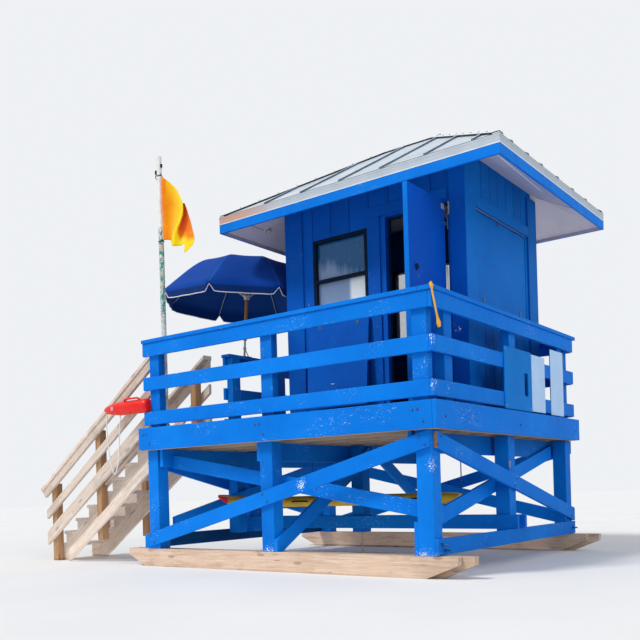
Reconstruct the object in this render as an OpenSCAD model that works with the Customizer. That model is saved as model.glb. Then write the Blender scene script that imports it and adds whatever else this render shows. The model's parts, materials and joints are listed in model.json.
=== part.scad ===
// Lifeguard tower: a hip-roofed timber cabin on a braced deck, with stair, umbrella and flag

/* [Deck] */
// Deck width along X, over the fascia boards
deck_w = 3620; // [3200:10:4200]
// Deck depth along Y, over the fascia boards
deck_d = 3380; // [3000:10:4000]
// Height of the deck surface above the ground
deck_z = 1487; // [1300:1:1700]
// Height of the fascia boards
fascia_h = 235; // [180:1:290]
// Thickness of framing boards
board_t = 38; // [32:1:45]
// Leg section
leg_w = 150; // [120:1:200]
// Skid height
skid_h = 190; // [150:1:240]

/* [Railing] */
// Height of the railing above the deck, cap included
rail_h = 943; // [850:1:1100]
// Width of a railing board
rail_w = 140; // [110:1:160]
// Rail post width
post_w = 140; // [90:1:150]
// Rail post depth
post_d = 90; // [70:1:100]

/* [Cabin] */
// Cabin width along X
cabin_w = 2170; // [2000:10:2300]
// Cabin depth along Y
cabin_d = 1720; // [1500:10:1900]
// Thickness of the cabin walls
wall_t = 90; // [70:1:110]
// Width of the doorway
door_w = 715; // [650:1:800]
// Height of the doorway
door_h = 2050; // [1950:1:2100]
// Thickness of the door leaf
leaf_t = 50; // [40:1:60]
// Width of the front window
win_w = 705; // [600:1:720]
// Height of the windows
win_h = 900; // [700:1:950]

/* [Roof] */
// Roof pitch in degrees
pitch = 30; // [24:1:32]
// Eave overhang past the front, rear and left walls
eave = 530; // [450:1:600]
// Eave overhang past the right wall
eave_right = 613; // [500:1:660]

/* [Stair] */
// Rise from tread to tread
step_rise = 157; // [140:1:170]
// Run from tread to tread
step_run = 226; // [210:1:260]
// Width of the stair over the treads
stair_w = 590; // [500:1:640]

/* [Hidden] */
$fn = 40;
bt = board_t;
x0 = -deck_w/2;
x1 = deck_w/2;
y0 = -deck_d/2;
y1 = deck_d/2;
joist_top = deck_z - bt;
joist_h = 200;
joist_z = joist_top - joist_h;
girder_h = 184;
leg_top = joist_z;
leg_x = [x0 + 40, x0 + 1638, x1 - 102 - leg_w];
leg_y = [y0 + 90, y0 + 1633, y1 - 40 - leg_w];
// cabin faces
cx1 = x1 - 306;
cx0 = cx1 - cabin_w;
rear_gap = 423;
cy0 = y1 - rear_gap - cabin_d;
cy1 = cy0 + cabin_d;
// roof: eave rectangle and underside
rx0 = cx0 - eave;
rx1 = cx1 + eave_right;
ry0 = cy0 - eave;
ry1 = cy1 + eave;
eave_z = deck_z + 2134;
fas_h = 98;
drip_h = 79;
fas_t = 25;
slope = tan(pitch);
half_d = (ry1 - ry0)/2;
soffit_z = eave_z + 20;
wall_top = soffit_z + eave*slope;
right_top = soffit_z + eave_right*slope;
sheet_z = eave_z + fas_h + drip_h;
// trim boards on the walls
ct = 20;
cb = 215;
// openings in the walls, given by their lower left corner
door_x0 = cx1 - 179 - door_w;
door_x1 = cx1 - 179;
win_x0 = cx0 + 352;
win_z0 = deck_z + 1985 - win_h;
rear_w = 1200;
side_w = 1230;
side_y0 = cy0 + 222;
shut_h = 920;
sh_t = 30;
sh_tilt = 6;
sh_y = cy0 - ct - 6 - sh_t/2;
sh_z = win_z0 - 14;
hinge_cols = [win_x0 + 60, win_x0 + win_w - 160];
ls_gap = 27;
sr_x = cx1 + 8;
sr_z = win_z0 + 5;
hinge_rows = [side_y0 + 120, side_y0 + side_w - 220];
hinge_x = door_x1 + 8;
hinge_y = cy0 - 24;
// railing heights
low_z = deck_z + 31;
mid_z = deck_z + 401;
cap_z = deck_z + rail_h - bt;
top_z = cap_z - rail_w;
ri = 30;
px = [x0 + 131, x0 + 1699, x1 - 250];
py = [y0 + 1640, y1 - 460];
open_y = y0 + 1310;
left_py = [open_y + 30, y0 + 2200, y1 - 460];
// stair
tread_t = 38;
tread_d = step_run + 34.7;
top_drop = 30;
treads = floor((deck_z - top_drop - 120)/step_rise);
st_post = 90;
st_y0 = y0 + ri + bt + post_d + 2;
st_in = st_y0 + bt + st_post;
st_y1 = st_in + stair_w;
str_t = 38;
nose_x = x0 - 169;
nose_z = deck_z - top_drop;
grade = step_rise/step_run;
rake = atan(grade);
foot_x = nose_x - step_run*treads;
// umbrella
um_x = x0 + 110;
um_y = y0 + 1618;
um_r = 1020;
um_len = 1201;
um_lean = [-1.5, 3.9, 0];
um_t = 6;
um_pole = 21;
// flagpole
fp_x = x0 + 238;
fp_y = y0 + 190;
fp_r = 27;
fp_h = 2930;
// rescue can, lying on the lowest rail
can_r = 76;
can_l = 735;
can_x = px[0] - 0.2 - can_l;
can_y = y0 + ri + bt/2;
can_z = low_z + rail_w + can_r + 0.1;
// rescue board in its slings
rb_x0 = leg_x[0] + leg_w + 20;
rb_l = 2800;
rb_y = y0 + 1368;
rb_w = 490;
rb_z = 590;
rb_t = 120;
rb_yaw = 14.6;

blue = [0.05, 0.42, 0.86];
bare = [0.66, 0.55, 0.44];
metal = [0.72, 0.74, 0.76];
pale = [0.86, 0.82, 0.80];

module box(x, y, z, dx, dy, dz) {
    translate([x, y, z]) cube([dx, dy, dz]);
}

// A flat shape given by corner points, seen from above, raised by t
module slab(pts, t) {
    n = len(pts);
    all_pts = concat(pts, [for (p = pts) p + [0, 0, t]]);
    sides = [for (i = [0:n-1]) [i, i + n, (i + 1) % n + n, (i + 1) % n]];
    polyhedron(all_pts, concat([[for (i = [0:n-1]) i], [for (i = [n-1:-1:0]) i + n]], sides));
}

// A board standing in the XZ plane from a to b (x, z of the lower edge), with plumb ends
module board_xz(a, b, y, h, t) {
    translate([0, y + t, 0]) rotate([90, 0, 0]) linear_extrude(t)
        polygon([a, b, b + [0, h], a + [0, h]]);
}

// The same in the YZ plane
module board_yz(a, b, x, h, t) {
    translate([x, 0, 0]) rotate([90, 0, 90]) linear_extrude(t)
        polygon([a, b, b + [0, h], a + [0, h]]);
}

// Doubled skids with raked ends under the outer rows of legs
module skid_ply(y, t, a, b) {
    translate([0, y + t, 0]) rotate([90, 0, 0]) linear_extrude(t)
        polygon([[a + 260, 0], [b - 300, 0], [b, skid_h - 70], [b, skid_h], [a, skid_h], [a, skid_h - 70]]);
}
module skids() {
    color(bare) {
        for (y = [leg_y[0], leg_y[2]]) {
            skid_ply(y, leg_w/2 - 1, x0 - 310, x1 + 110);
            skid_ply(y + leg_w/2 + 1, leg_w/2 - 1, x0 - 280, x1 + 225);
        }
        // pad and screw foot under the middle leg
        box(-300, -160, 0, 500, 360, 45);
        translate([leg_x[1] + leg_w/2, leg_y[1] + leg_w/2, 20]) cylinder(r = 12, h = hung - 20.1);
    }
}

// Square legs; the middle row hangs clear of the ground, with one more leg under the end of the left railing
hung = skid_h + 100;
module leg(x, y, z) {
    box(x, y, z, leg_w, leg_w, leg_top - z);
}
module legs() {
    color(blue) {
        for (x = leg_x, y = leg_y) leg(x, y, y == leg_y[1] ? hung : skid_h);
        leg(leg_x[0], open_y + 30, hung);
    }
}

// Beams in the depth direction beside the legs, just under the joists
module girders() {
    color(blue) for (x = leg_x)
        box(x == leg_x[0] ? x + leg_w + bt : x == leg_x[1] ? x - bt : x - 2*bt,
            leg_y[0] + 0.2, joist_z - girder_h, bt, leg_y[2] + leg_w - leg_y[0] - 20, girder_h);
}

// Joists along X with a rim at both ends
function joist_y(i) = y0 + bt + i*(deck_d - 3*bt)/8;
module joists() {
    color(bare) {
        for (i = [0:8]) box(x0 + 2*bt + 0.2, joist_y(i), joist_z, deck_w - 4*bt - 0.4, bt, joist_h);
        for (x = [x0 + bt, x1 - 2*bt]) box(x, y0 + bt, joist_z, bt, deck_d - 2*bt, joist_h);
    }
}

module deck() {
    color(bare) box(x0 + bt, y0 + bt, joist_top, deck_w - 2*bt, deck_d - 2*bt, bt);
}

// Four boards round the deck edge
module fascia() {
    color(blue) {
        for (y = [y0, y1 - bt]) box(x0, y, deck_z - fascia_h, deck_w - (y < 0 ? bt + 1 : 0), bt, fascia_h);
        box(x1 - bt, y0, deck_z - fascia_h, bt, deck_d - bt - 1, fascia_h);
        box(x0, y0 + bt + 1, deck_z - fascia_h, bt, deck_d - 2*bt - 2, fascia_h);
    }
}

// A board in the YZ plane on the right side of the middle legs
module mid_brace(pts) {
    translate([leg_x[1] + leg_w, 0, 0]) rotate([90, 0, 90]) linear_extrude(bt) polygon(pts);
}
// Crossed braces outside and inside the legs on all four sides, and a pair that meets at the middle leg
module braces() {
    h = 144;
    low = skid_h + 150;
    lx = leg_x[0] + leg_w + 2*bt + 0.2;
    color(blue) {
        for (s = [0, 1]) {
            yo = s == 0 ? leg_y[0] - bt : leg_y[2] + leg_w;
            yi = s == 0 ? leg_y[0] + leg_w : leg_y[2] - bt;
            board_xz([x0, skid_h + 5], [leg_x[2] + leg_w, leg_top - h - 1], yo, h, bt);
            board_xz([lx, leg_top - h - 55], [leg_x[2] + leg_w - 2, s == 0 ? low + 132 : low - 40], yi, h, bt);
            xo = s == 0 ? leg_x[2] + leg_w : leg_x[0] - bt;
            xi = s == 0 ? leg_x[2] - bt : leg_x[0] + leg_w;
            board_yz([leg_y[0] + bt, leg_top - h - 15], [leg_y[2] + leg_w - 2, low], xo, h, bt);
            board_yz([leg_y[0] + leg_w + bt + 2, low + 40], [leg_y[2] - bt - 2, leg_top - h - 50], xi, h, bt);
        }
        ya = leg_y[0];
        yb = leg_y[1] + 120;
        za = skid_h - 49;
        zb = leg_top - 176;
        mid_brace([[ya, skid_h + 2], [ya + (skid_h + 2 - za)*(yb - ya)/(zb - za), skid_h + 2], [yb, zb],
                   [yb, zb + 168], [ya, za + 168]]);
        yc = leg_y[1] + leg_w;
        yd = leg_y[2] + leg_w;
        zd = skid_h + 38;
        fall = (leg_top - 153 - zd)/(yd - yc - 115);
        mid_brace([[yc, zd + (yd - yc)*fall], [yd, zd], [yd, zd + 152],
                   [yc + 115, leg_top - 1], [yc, leg_top - 1]]);
    }
}

// Low boards along the feet of the side legs, a pair across the middle row lying on them, and a cleat
module ties() {
    low = skid_h + 5;
    color(blue) {
        for (x = [leg_x[0] - bt, leg_x[2] + leg_w]) box(x, leg_y[0], low, bt, leg_y[2] + leg_w - leg_y[0], 140);
        for (y = [leg_y[1] - bt, leg_y[1] + leg_w]) box(x0 - 60, y, low + 140.2, deck_w + 50, bt, 136);
        box(leg_x[2] - bt, leg_y[0], skid_h + 2, bt, leg_w - 2, 286);
    }
}

module rail_post(x, y, dx, dy) {
    box(x, y, deck_z, dx, dy, cap_z - deck_z);
}
module rail_posts() {
    color(blue) {
        for (x = px, y = [y0 + ri + bt, y1 - ri - bt - post_d]) rail_post(x, y, post_w, post_d);
        for (y = py) rail_post(x1 - ri - bt - post_d, y, post_d, post_w);
        for (y = left_py) rail_post(x0 + ri + bt, y, post_d, post_w);
        rail_post(x1 - ri - bt - post_d, y0 + 300, post_d, post_w);
    }
}

module three_x(y, a, b) {
    for (z = [low_z, mid_z, top_z]) box(a, y, z, b - a, bt, rail_w);
}
module three_y(x, a, b) {
    for (z = [low_z, mid_z, top_z]) box(x, a, z, bt, b - a, rail_w);
}
module rails() {
    color(blue) {
        three_x(y0 + ri, x0 + 64, x1 - ri - bt - 1);
        three_x(y1 - ri - bt, x0 + 64, x1 - 64);
        three_y(x1 - ri - bt, y0 + ri, y1 - ri - bt - 1);
        three_y(x0 + ri, open_y, y1 - ri - bt - 1);
    }
}

// Flat boards on top of the posts
module rail_caps() {
    cw = 140;
    color(blue) {
        box(x0 + 60, y0 + 15, cap_z, deck_w - 61 - cw - 15, cw, bt);
        box(x1 - 15 - cw, y0 + 15, cap_z, cw, deck_d - 31 - cw, bt);
        box(x0 + 15, y1 - 15 - cw, cap_z, deck_w - 30, cw, bt);
        box(x0 + 15, open_y - 5, cap_z, cw, y1 - 15 - cw - open_y + 4, bt);
    }
}

// Front wall beside the doorway, with the window
module front_wall() {
    color(blue) difference() {
        box(cx0, cy0, deck_z, door_x0 - cx0, wall_t, wall_top - deck_z);
        box(win_x0, cy0 - 1, win_z0, win_w, wall_t + 2, win_h);
    }
}
// Strip of front wall on the hinge side of the doorway, and the piece over it
module front_wall_strip() {
    color(blue) box(door_x1, cy0, deck_z, cx1 - door_x1, wall_t, wall_top - deck_z);
}
module front_wall_over_door() {
    color(blue) box(door_x0, cy0, deck_z + door_h, door_w, wall_t, wall_top - deck_z - door_h);
}
module rear_wall() {
    color(blue) difference() {
        box(cx0, cy1 - wall_t, deck_z, cabin_w, wall_t, wall_top - deck_z);
        box(win_x0, cy1 - wall_t - 1, win_z0, rear_w, wall_t + 2, win_h);
    }
}
module wall_side(x, top) {
    difference() {
        box(x, cy0 + wall_t, deck_z, wall_t, cabin_d - 2*wall_t, top - deck_z);
        box(x - 1, side_y0, win_z0, wall_t + 2, side_w, win_h);
    }
}
module left_wall() { color(blue) wall_side(cx0, wall_top); }
module right_wall() { color(blue) wall_side(cx1 - wall_t, right_top); }

module corner_boards() {
    z1 = wall_top - ct*slope - 2;
    color(blue) for (sx = [0, 1], sy = [0, 1]) {
        x = sx ? cx1 : cx0;
        y = sy ? cy1 : cy0;
        w = (sx && !sy) ? 150 : cb;
        box(sx ? x - w : x - ct, sy ? y : y - ct, deck_z, w + ct, ct, z1 - deck_z);
        box(sx ? x : x - ct, sy ? y - cb : y + 0.3, deck_z, ct, cb - 0.3, z1 - deck_z);
    }
}

// Boards over the door and windows and beside the window, and the blocks that the open shutter leans on
module cabin_trim() {
    hz = deck_z + door_h + 20;
    stop_z = sh_z - shut_h + 60;
    reach = cy0 - sh_y + (sh_z - stop_z - 40)*tan(sh_tilt) - sh_t/2/cos(sh_tilt) - 0.4;
    color(blue) {
        for (x = [win_x0 + 30, win_x0 + win_w - 90]) box(x, cy0 - reach, stop_z, 60, reach, 40);
        for (y = [side_y0 + 60, side_y0 + side_w - 120], z = [win_z0 - 110, stop_z])
            box(cx0 - ls_gap, y, z, ls_gap, 60, 60);
        box(door_x0 - 60 - 150, cy0 - ct, hz, door_w + 210, ct, 110);
        box(door_x0 - 60 - 150, cy0 - ct, deck_z, 150, ct, hz - deck_z - 1);
        for (x = [cx1, cx0 - ct]) box(x, cy0 + cb + 1, win_z0 + win_h + 20, ct, cabin_d - 2*cb - 2, 110);
    }
}

// Window frames with a meeting rail, standing a little proud of the wall
module sash(y, w) {
    f = 40;
    fd = wall_t - 10;
    difference() {
        box(win_x0 + 0.15, y, win_z0 + 0.15, w - 0.3, fd, win_h - 0.3);
        box(win_x0 + f, y - 1, win_z0 + f, w - 2*f, fd + 2, win_h/2 - f - 18);
        box(win_x0 + f, y - 1, win_z0 + win_h/2 + 18, w - 2*f, fd + 2, win_h/2 - f - 18);
    }
}
module window_frames() {
    color([0.12, 0.16, 0.22]) {
        sash(cy0 - 5, win_w);
        sash(cy1 - wall_t + 15, rear_w);
    }
}
// Sliding side windows: a frame with one upright where the two sashes meet
stile_y = side_y0 + 0.57*side_w;
stile_w = 120;
module side_sash(x) {
    f = 40;
    difference() {
        box(x, side_y0 + 0.15, win_z0 + 0.15, 50, side_w - 0.3, win_h - 0.3);
        box(x - 1, side_y0 + f, win_z0 + f, 52, stile_y - side_y0 - f, win_h - 2*f);
        box(x - 1, stile_y + stile_w, win_z0 + f, 52, side_y0 + side_w - f - stile_y - stile_w, win_h - 2*f);
    }
}
module side_frames() {
    color([0.12, 0.16, 0.22]) for (x = [cx0 + 20, cx1 - wall_t + 3]) side_sash(x);
}
module pane(y, w) {
    f = 40;
    for (z = [win_z0 + f, win_z0 + win_h/2 + 18])
        box(win_x0 + f, y, z, w - 2*f, 5, win_h/2 - f - 18);
}
module side_pane(x, y, w) {
    box(x, y, win_z0 + 40, 5, w, win_h - 80);
}
module window_glass() {
    color([0.6, 0.7, 0.75]) {
        pane(cy0 + 35, win_w);
        pane(cy1 - 45, rear_w);
        side_pane(cx0 + 45, side_y0 + 40, stile_y - side_y0 - 40);
        side_pane(cx1 - wall_t + 25, side_y0 + 40, stile_y - side_y0 - 40);
        side_pane(cx1 - wall_t + 25, stile_y + stile_w, side_y0 + side_w - 40 - stile_y - stile_w);
    }
}

// Drop shutter hanging open below the front window on a pin at its sill
module shutter_front() {
    color(blue) translate([win_x0 - 29, sh_y, sh_z]) rotate([-sh_tilt, 0, 0])
        translate([0, -sh_t/2, -shut_h - 8]) cube([win_w + 58, sh_t, shut_h]);
}
module shutter_front_hinges() {
    color(metal) for (x = hinge_cols) translate([x + 30.3, sh_y, sh_z]) {
        rotate([0, 90, 0]) cylinder(r = 7, h = 39.4);
        rotate([-sh_tilt, 0, 0]) {
            box(0.7, -sh_t/2 - 3, -70, 38, 3, 65);
            box(0.7, -sh_t/2 - 3, -6, 38, sh_t/2 + 3, 5);
        }
    }
}
// Shutter of the right-hand window, latched shut in its opening
module shutter_right() {
    color(blue) box(cx1 - 4 - sh_t, side_y0 + 6, sr_z + 3, sh_t, side_w - 12, win_h - 16);
}
module shutter_right_hinges() {
    color(metal) for (y = hinge_rows) translate([sr_x, y + 30.3, sr_z]) {
        rotate([-90, 0, 0]) cylinder(r = 6, h = 39.4);
        box(-12, 0.7, -3, 12, 38, 6);
        box(-12, 0.7, -3, 4, 38, 66);
    }
}
// Shutter of the left-hand window, hung open flat on its blocks
module shutter_left() {
    color(blue) box(cx0 - ls_gap - sh_t, side_y0 - 20, win_z0 - 22 - shut_h, sh_t, side_w + 40, shut_h);
}

module door_frame() {
    f = 22;
    color([0.2, 0.25, 0.35]) difference() {
        box(door_x0 + 0.15, cy0 + leaf_t + 14, deck_z, door_w - 0.3, wall_t - leaf_t - 14, door_h - 0.2);
        box(door_x0 + f, cy0, deck_z - 1, door_w - 2*f, wall_t + 2, door_h - f + 1);
    }
}

// The leaf, drawn as in the photo: swung out square to the wall
module door_leaf() {
    lw = door_w - 14;
    color(blue) box(hinge_x - 22 - leaf_t, hinge_y - 8 - 6 - lw, deck_z + 12, leaf_t, lw, door_h - 24);
}
module door_knob() {
    kx = hinge_x - 22;
    ky = hinge_y - door_w + 60;
    color(metal) {
        translate([kx, ky, deck_z + 1010]) rotate([0, 90, 0]) cylinder(r = 30, h = 6);
        translate([kx + 6, ky, deck_z + 1010]) rotate([0, 90, 0]) cylinder(r = 12, h = 34);
        translate([kx + 40, ky, deck_z + 1010]) rotate([0, 90, 0]) cylinder(r = 26, h = 20);
    }
}
hinge_z = [deck_z + 230, deck_z + 1000, deck_z + 1770];
// Fixed halves of all hinges: two knuckles and a tab or plate on the wall
module fixed_hinges() {
    color(metal) {
        for (z = hinge_z, k = [0, 70]) {
            translate([hinge_x, hinge_y, z + k]) cylinder(r = 9, h = 30);
            box(hinge_x - 3, hinge_y, z + k, 6, cy0 - hinge_y, 30);
        }
        for (x = hinge_cols, k = [0, 70]) translate([x + k, sh_y, sh_z]) {
            rotate([0, 90, 0]) cylinder(r = 7, h = 30);
            box(0, 0, -3, 30, cy0 - sh_y, 6);
        }
        for (y = hinge_rows, k = [0, 70]) translate([sr_x, y + k, sr_z]) {
            rotate([-90, 0, 0]) cylinder(r = 6, h = 30);
            box(cx1 - sr_x, 0, -45, 5, 30, 48);
        }
    }
}
// Swinging halves: one knuckle and a plate on the leaf
module leaf_hinges() {
    color(metal) for (z = hinge_z) {
        translate([hinge_x, hinge_y, z + 30.3]) cylinder(r = 9, h = 39.4);
        box(hinge_x - 22, hinge_y - 3, z + 31, 22, 6, 38);
        box(hinge_x - 22, hinge_y - 90, z + 31, 5, 93, 38);
    }
}

// Sloping roof faces between two distances in from the eave, with plumb sides
module roof_faces(z, t, s0, g) {
    h = half_d;
    za = z + s0*slope;
    zb = z + h*slope;
    slab([[rx0 + s0 + g, ry0 + s0, za], [rx1 - s0 - g, ry0 + s0, za],
          [rx1 - h - g, ry0 + h - g, zb - g*slope], [rx0 + h + g, ry0 + h - g, zb - g*slope]], t);
    slab([[rx1 - s0 - g, ry1 - s0, za], [rx0 + s0 + g, ry1 - s0, za],
          [rx0 + h + g, ry1 - h + g, zb - g*slope], [rx1 - h - g, ry1 - h + g, zb - g*slope]], t);
    slab([[rx0 + s0, ry1 - s0 - g, za], [rx0 + s0, ry0 + s0 + g, za], [rx0 + h - g, ry0 + h, zb - g*slope]], t);
    slab([[rx1 - s0, ry0 + s0 + g, za], [rx1 - s0, ry1 - s0 - g, za], [rx1 - h + g, ry0 + h, zb - g*slope]], t);
}
module soffit() {
    color(pale) roof_faces(soffit_z, sheet_z - soffit_z - 24, fas_t, 1);
}
module roof_sheet() {
    color(metal) roof_faces(sheet_z - 24, 24, 0, 1);
}
module ring(z, h, t) {
    difference() {
        box(rx0, ry0, z, rx1 - rx0, ry1 - ry0, h);
        box(rx0 + t, ry0 + t, z - 1, rx1 - rx0 - 2*t, ry1 - ry0 - 2*t, h + 2);
    }
}
module eave_fascia() { color(blue) ring(eave_z, fas_h, fas_t); }
module drip_band() { color(metal) ring(eave_z + fas_h, drip_h - 24, fas_t); }

// Folded cap along one hip, lying on the sheet; sx and sy point from the corner to the ridge
module hip_cap(sx, sy) {
    w = 70;
    t = [0, 0, 8];
    n = half_d - 95;
    a = [sx > 0 ? rx0 : rx1, sy > 0 ? ry0 : ry1, sheet_z + 0.2];
    b = a + [sx*n, sy*n, n*slope];
    u = sx*sy > 0 ? [sx*w, 0, 0] : [0, sy*w, 0];
    v = sx*sy > 0 ? [0, sy*w, 0] : [sx*w, 0, 0];
    pts = [for (c = [a, b], o = [u, [0, 0, 0], v], k = [[0, 0, 0], t]) c + o + k];
    polyhedron(pts, [[0, 6, 8, 2], [2, 8, 10, 4], [1, 3, 9, 7], [3, 5, 11, 9], [0, 1, 7, 6], [4, 10, 11, 5],
                     [0, 2, 3, 1], [2, 4, 5, 3], [6, 7, 9, 8], [8, 9, 11, 10]]);
}
module ridge_cap() {
    w = 90;
    d = w*slope;
    translate([rx0 + half_d - 20, ry0 + half_d, sheet_z + half_d*slope + 0.2]) rotate([90, 0, 90])
        linear_extrude(rx1 - rx0 - 2*half_d + 40)
            polygon([[-w, -d], [0, 0], [w, -d], [w, 8 - d], [0, 8], [-w, 8 - d]]);
}
module roof_caps() {
    color(metal) {
        for (sx = [-1, 1], sy = [-1, 1]) hip_cap(sx, sy);
        ridge_cap();
    }
}

// Stair
function tread_z(i) = nose_z - step_rise*i;
function tread_x(i) = nose_x - step_run*i;
// Height of the line through the tread edges
function nosing(x) = nose_z + (x - nose_x)*grade;
module stringer(y) {
    cut = 35;
    deep = 416;
    steps = [for (i = [treads:-1:0]) each [[tread_x(i) + cut, tread_z(i) - tread_t],
             [i == 0 ? x0 - 1 : tread_x(i - 1) + cut, tread_z(i) - tread_t]]];
    translate([0, y + str_t, 0]) rotate([90, 0, 0]) linear_extrude(str_t)
        polygon(concat([[x0 - 1, nosing(x0 - 1) - deep], [nose_x + (deep - nose_z)/grade, 0],
                        [foot_x + cut, 0]], steps));
}
module stair_stringers() {
    color(bare) for (y = [st_in, st_y1 - str_t]) stringer(y);
}
module stair_treads() {
    color(bare) for (i = [0:treads])
        box(tread_x(i), st_in, tread_z(i) - tread_t, i == 0 ? x0 - 1 - tread_x(0) : tread_d, stair_w, tread_t);
}
p1x = foot_x + 122;
p2x = foot_x + 987;
cap_low = 656;
module stair_posts() {
    color(bare) {
        for (y = [st_in - st_post, st_y1]) {
            box(p1x, y, 0, st_post, st_post, nosing(p1x) + cap_low);
            box(p2x, y, 265, st_post, st_post, nosing(p2x) + cap_low - 265);
        }
        p3x = x0 - st_post - 0.1;
        box(p3x, st_y1, deck_z - 330, st_post, st_post, 330 - deck_z + nosing(p3x) + cap_low);
    }
}
// A board parallel to the stair, z above the tread line; square = 1 cuts its lower end square
module raked(z, h, y, t, a, b, square) {
    c = square*h*cos(rake)*sin(rake);
    translate([0, y + t, 0]) rotate([90, 0, 0]) linear_extrude(t)
        polygon([[a + c, nosing(a + c) + z], [b, nosing(b) + z], [b, nosing(b) + z + h], [a, nosing(a) + z + h]]);
}
module stair_rails() {
    end_x = p1x - 159;
    color(bare) for (k = [0, 1]) {
        y = k ? st_y1 + st_post : st_y0;
        b = k ? x0 + 130 : x0 + 60;
        raked(-55, 168, y, bt, p1x - 58, b, 0);
        raked(265, 110, y, bt, p1x - 58, b, 0);
        raked(cap_low - 111, 110.8, y, bt, end_x + 22, b, 1);
        raked(cap_low, 46, k ? st_y1 + 10 : st_y0 - 15, 133, end_x, b, 1);
    }
    // lower board across the middle post and one between that post and the deck, on the front side
    color(bare) {
        raked(-535, 140, st_y0, bt, nose_x + (535 - nose_z)/grade + 8, leg_x[0] - bt - 0.2, 0);
        raked(-50, 170, st_in - bt - 0.2, bt, p2x + st_post + 0.2, x0 - 1, 0);
    }
}
module side_panel() {
    color(bare) difference() {
        box(x1 - ri, y0 + 1405, deck_z + 12, 12, 660, 600);
        box(x1 - ri - 1, y0 + 1880, deck_z + 160, 14, 90, 230);
    }
}
module signs() {
    color([0.95, 0.95, 0.95]) {
        box(x1 - ri, y0 + 2075, deck_z + 20, 6, 360, 580);
        box(x1 - ri, y0 + 2600, deck_z + 15, 6, 370, 700);
    }
}

module flagpole() {
    color([0.9, 0.9, 0.9]) translate([fp_x, fp_y, deck_z]) cylinder(r = fp_r, h = fp_h);
}
// Limp flag: a pleated sheet cut to its drooping outline
module flag() {
    t = 5;
    n = 40;
    fx = fp_x + fp_r + 0.2;
    wave = [for (i = [0:n]) let (x = 500*i/n) [x, 42*sin(x*2.4)*min(1, x/90)]];
    color([0.95, 0.6, 0.1]) translate([fx, fp_y, deck_z]) intersection() {
        translate([0, 0, 1800]) linear_extrude(950)
            polygon(concat([for (p = wave) p + [0, t/2]], [for (i = [n:-1:0]) wave[i] - [0, t/2]]));
        translate([0, 80, 0]) rotate([90, 0, 0]) linear_extrude(160)
            polygon([[-1, 2014], [-1, 2716], [60, 2690], [157, 2626], [283, 2477], [347, 2388], [373, 2309],
                     [432, 2146], [487, 1929], [450, 1871], [342, 1819], [321, 1915], [174, 1915], [170, 1973]]);
    }
}

// The umbrella leans a little; it stands on a steel rod with a small stay on the left railing
module lean(z) {
    translate([um_x, um_y, deck_z + rail_h]) rotate(um_lean) translate([0, 0, z]) children();
}
module umbrella_mount() {
    color(metal) {
        box(um_x - 40, um_y - 45, deck_z + rail_h, 80, 140, 6);
        lean(1) cylinder(r = 13, h = 199);
        lean(90) cylinder(r = 20, h = 26);
        lean(6) translate([-3, 0, 0]) rotate([90, 0, 90]) linear_extrude(6)
            polygon([[0, 106], [0, 92], [74, 0], [88, 0]]);
    }
}
module umbrella_pole() {
    drop = um_t + 0.1 + um_pole*1.09*25/(0.25*um_r);
    color(bare) lean(200) cylinder(r = um_pole, h = um_len - drop - 200);
}
// Eight-sided canopy with a curved top and a hanging edge
module umbrella_canopy() {
    r = um_r;
    t = um_t;
    color([0.05, 0.1, 0.4]) lean(um_len) rotate([0, 0, 17.8]) rotate_extrude($fn = 8)
        polygon([[0, 0], [0.25*r, -25], [0.53*r, -90], [0.75*r, -255], [r, -500], [r, -620],
                 [r - t, -620], [r - t, -500 - t/2], [0.75*r, -255 - 1.45*t], [0.53*r, -90 - 1.3*t],
                 [0.25*r, -25 - t], [0, -t]]);
}

module rescue_can() {
    color([0.9, 0.1, 0.05]) translate([can_x, can_y, can_z]) rotate([0, 90, 0])
        rotate_extrude() polygon([[0, 0], [18, 0], [34, 30], [52, 90], [66, 170], [can_r, 270],
                                  [can_r, can_l - 30], [60, can_l], [0, can_l]]);
}

rope_r = 6;
rope_way = [[34, 0, -38], [42, -16, -200], [62, -18, -400], [96, -18, -590], [150, -18, -720],
            [205, -18, -655], [240, -18, -480], [256, -16, -280], [262, 0, -78]];
rope_pts = [for (p = rope_way) [can_x, can_y - 4, can_z] + p];
function lerp_pts(p, n) = [for (i = [0:len(p)-2], j = [0:n-1]) p[i] + (p[i+1] - p[i])*j/n];
function unit(v) = v/norm(v);
module tube(p, r, k) {
    m = len(p);
    rings = [for (i = [0:m-1]) let (
        t = unit(p[min(i + 1, m - 1)] - p[max(i - 1, 0)]),
        a = unit(cross(t, [0, 1, 0])),
        b = cross(t, a))
        for (j = [0:k-1]) p[i] + r*(cos(360*j/k)*a + sin(360*j/k)*b)];
    faces = concat([[for (j = [k-1:-1:0]) j]], [[for (j = [0:k-1]) (m - 1)*k + j]],
        [for (i = [0:m-2], j = [0:k-1]) [i*k + j, i*k + (j + 1) % k, (i + 1)*k + (j + 1) % k, (i + 1)*k + j]]);
    polyhedron(rings, faces);
}
module can_rope() {
    color([0.95, 0.95, 0.9]) tube(lerp_pts(rope_pts, 4), rope_r, 8);
}

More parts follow.
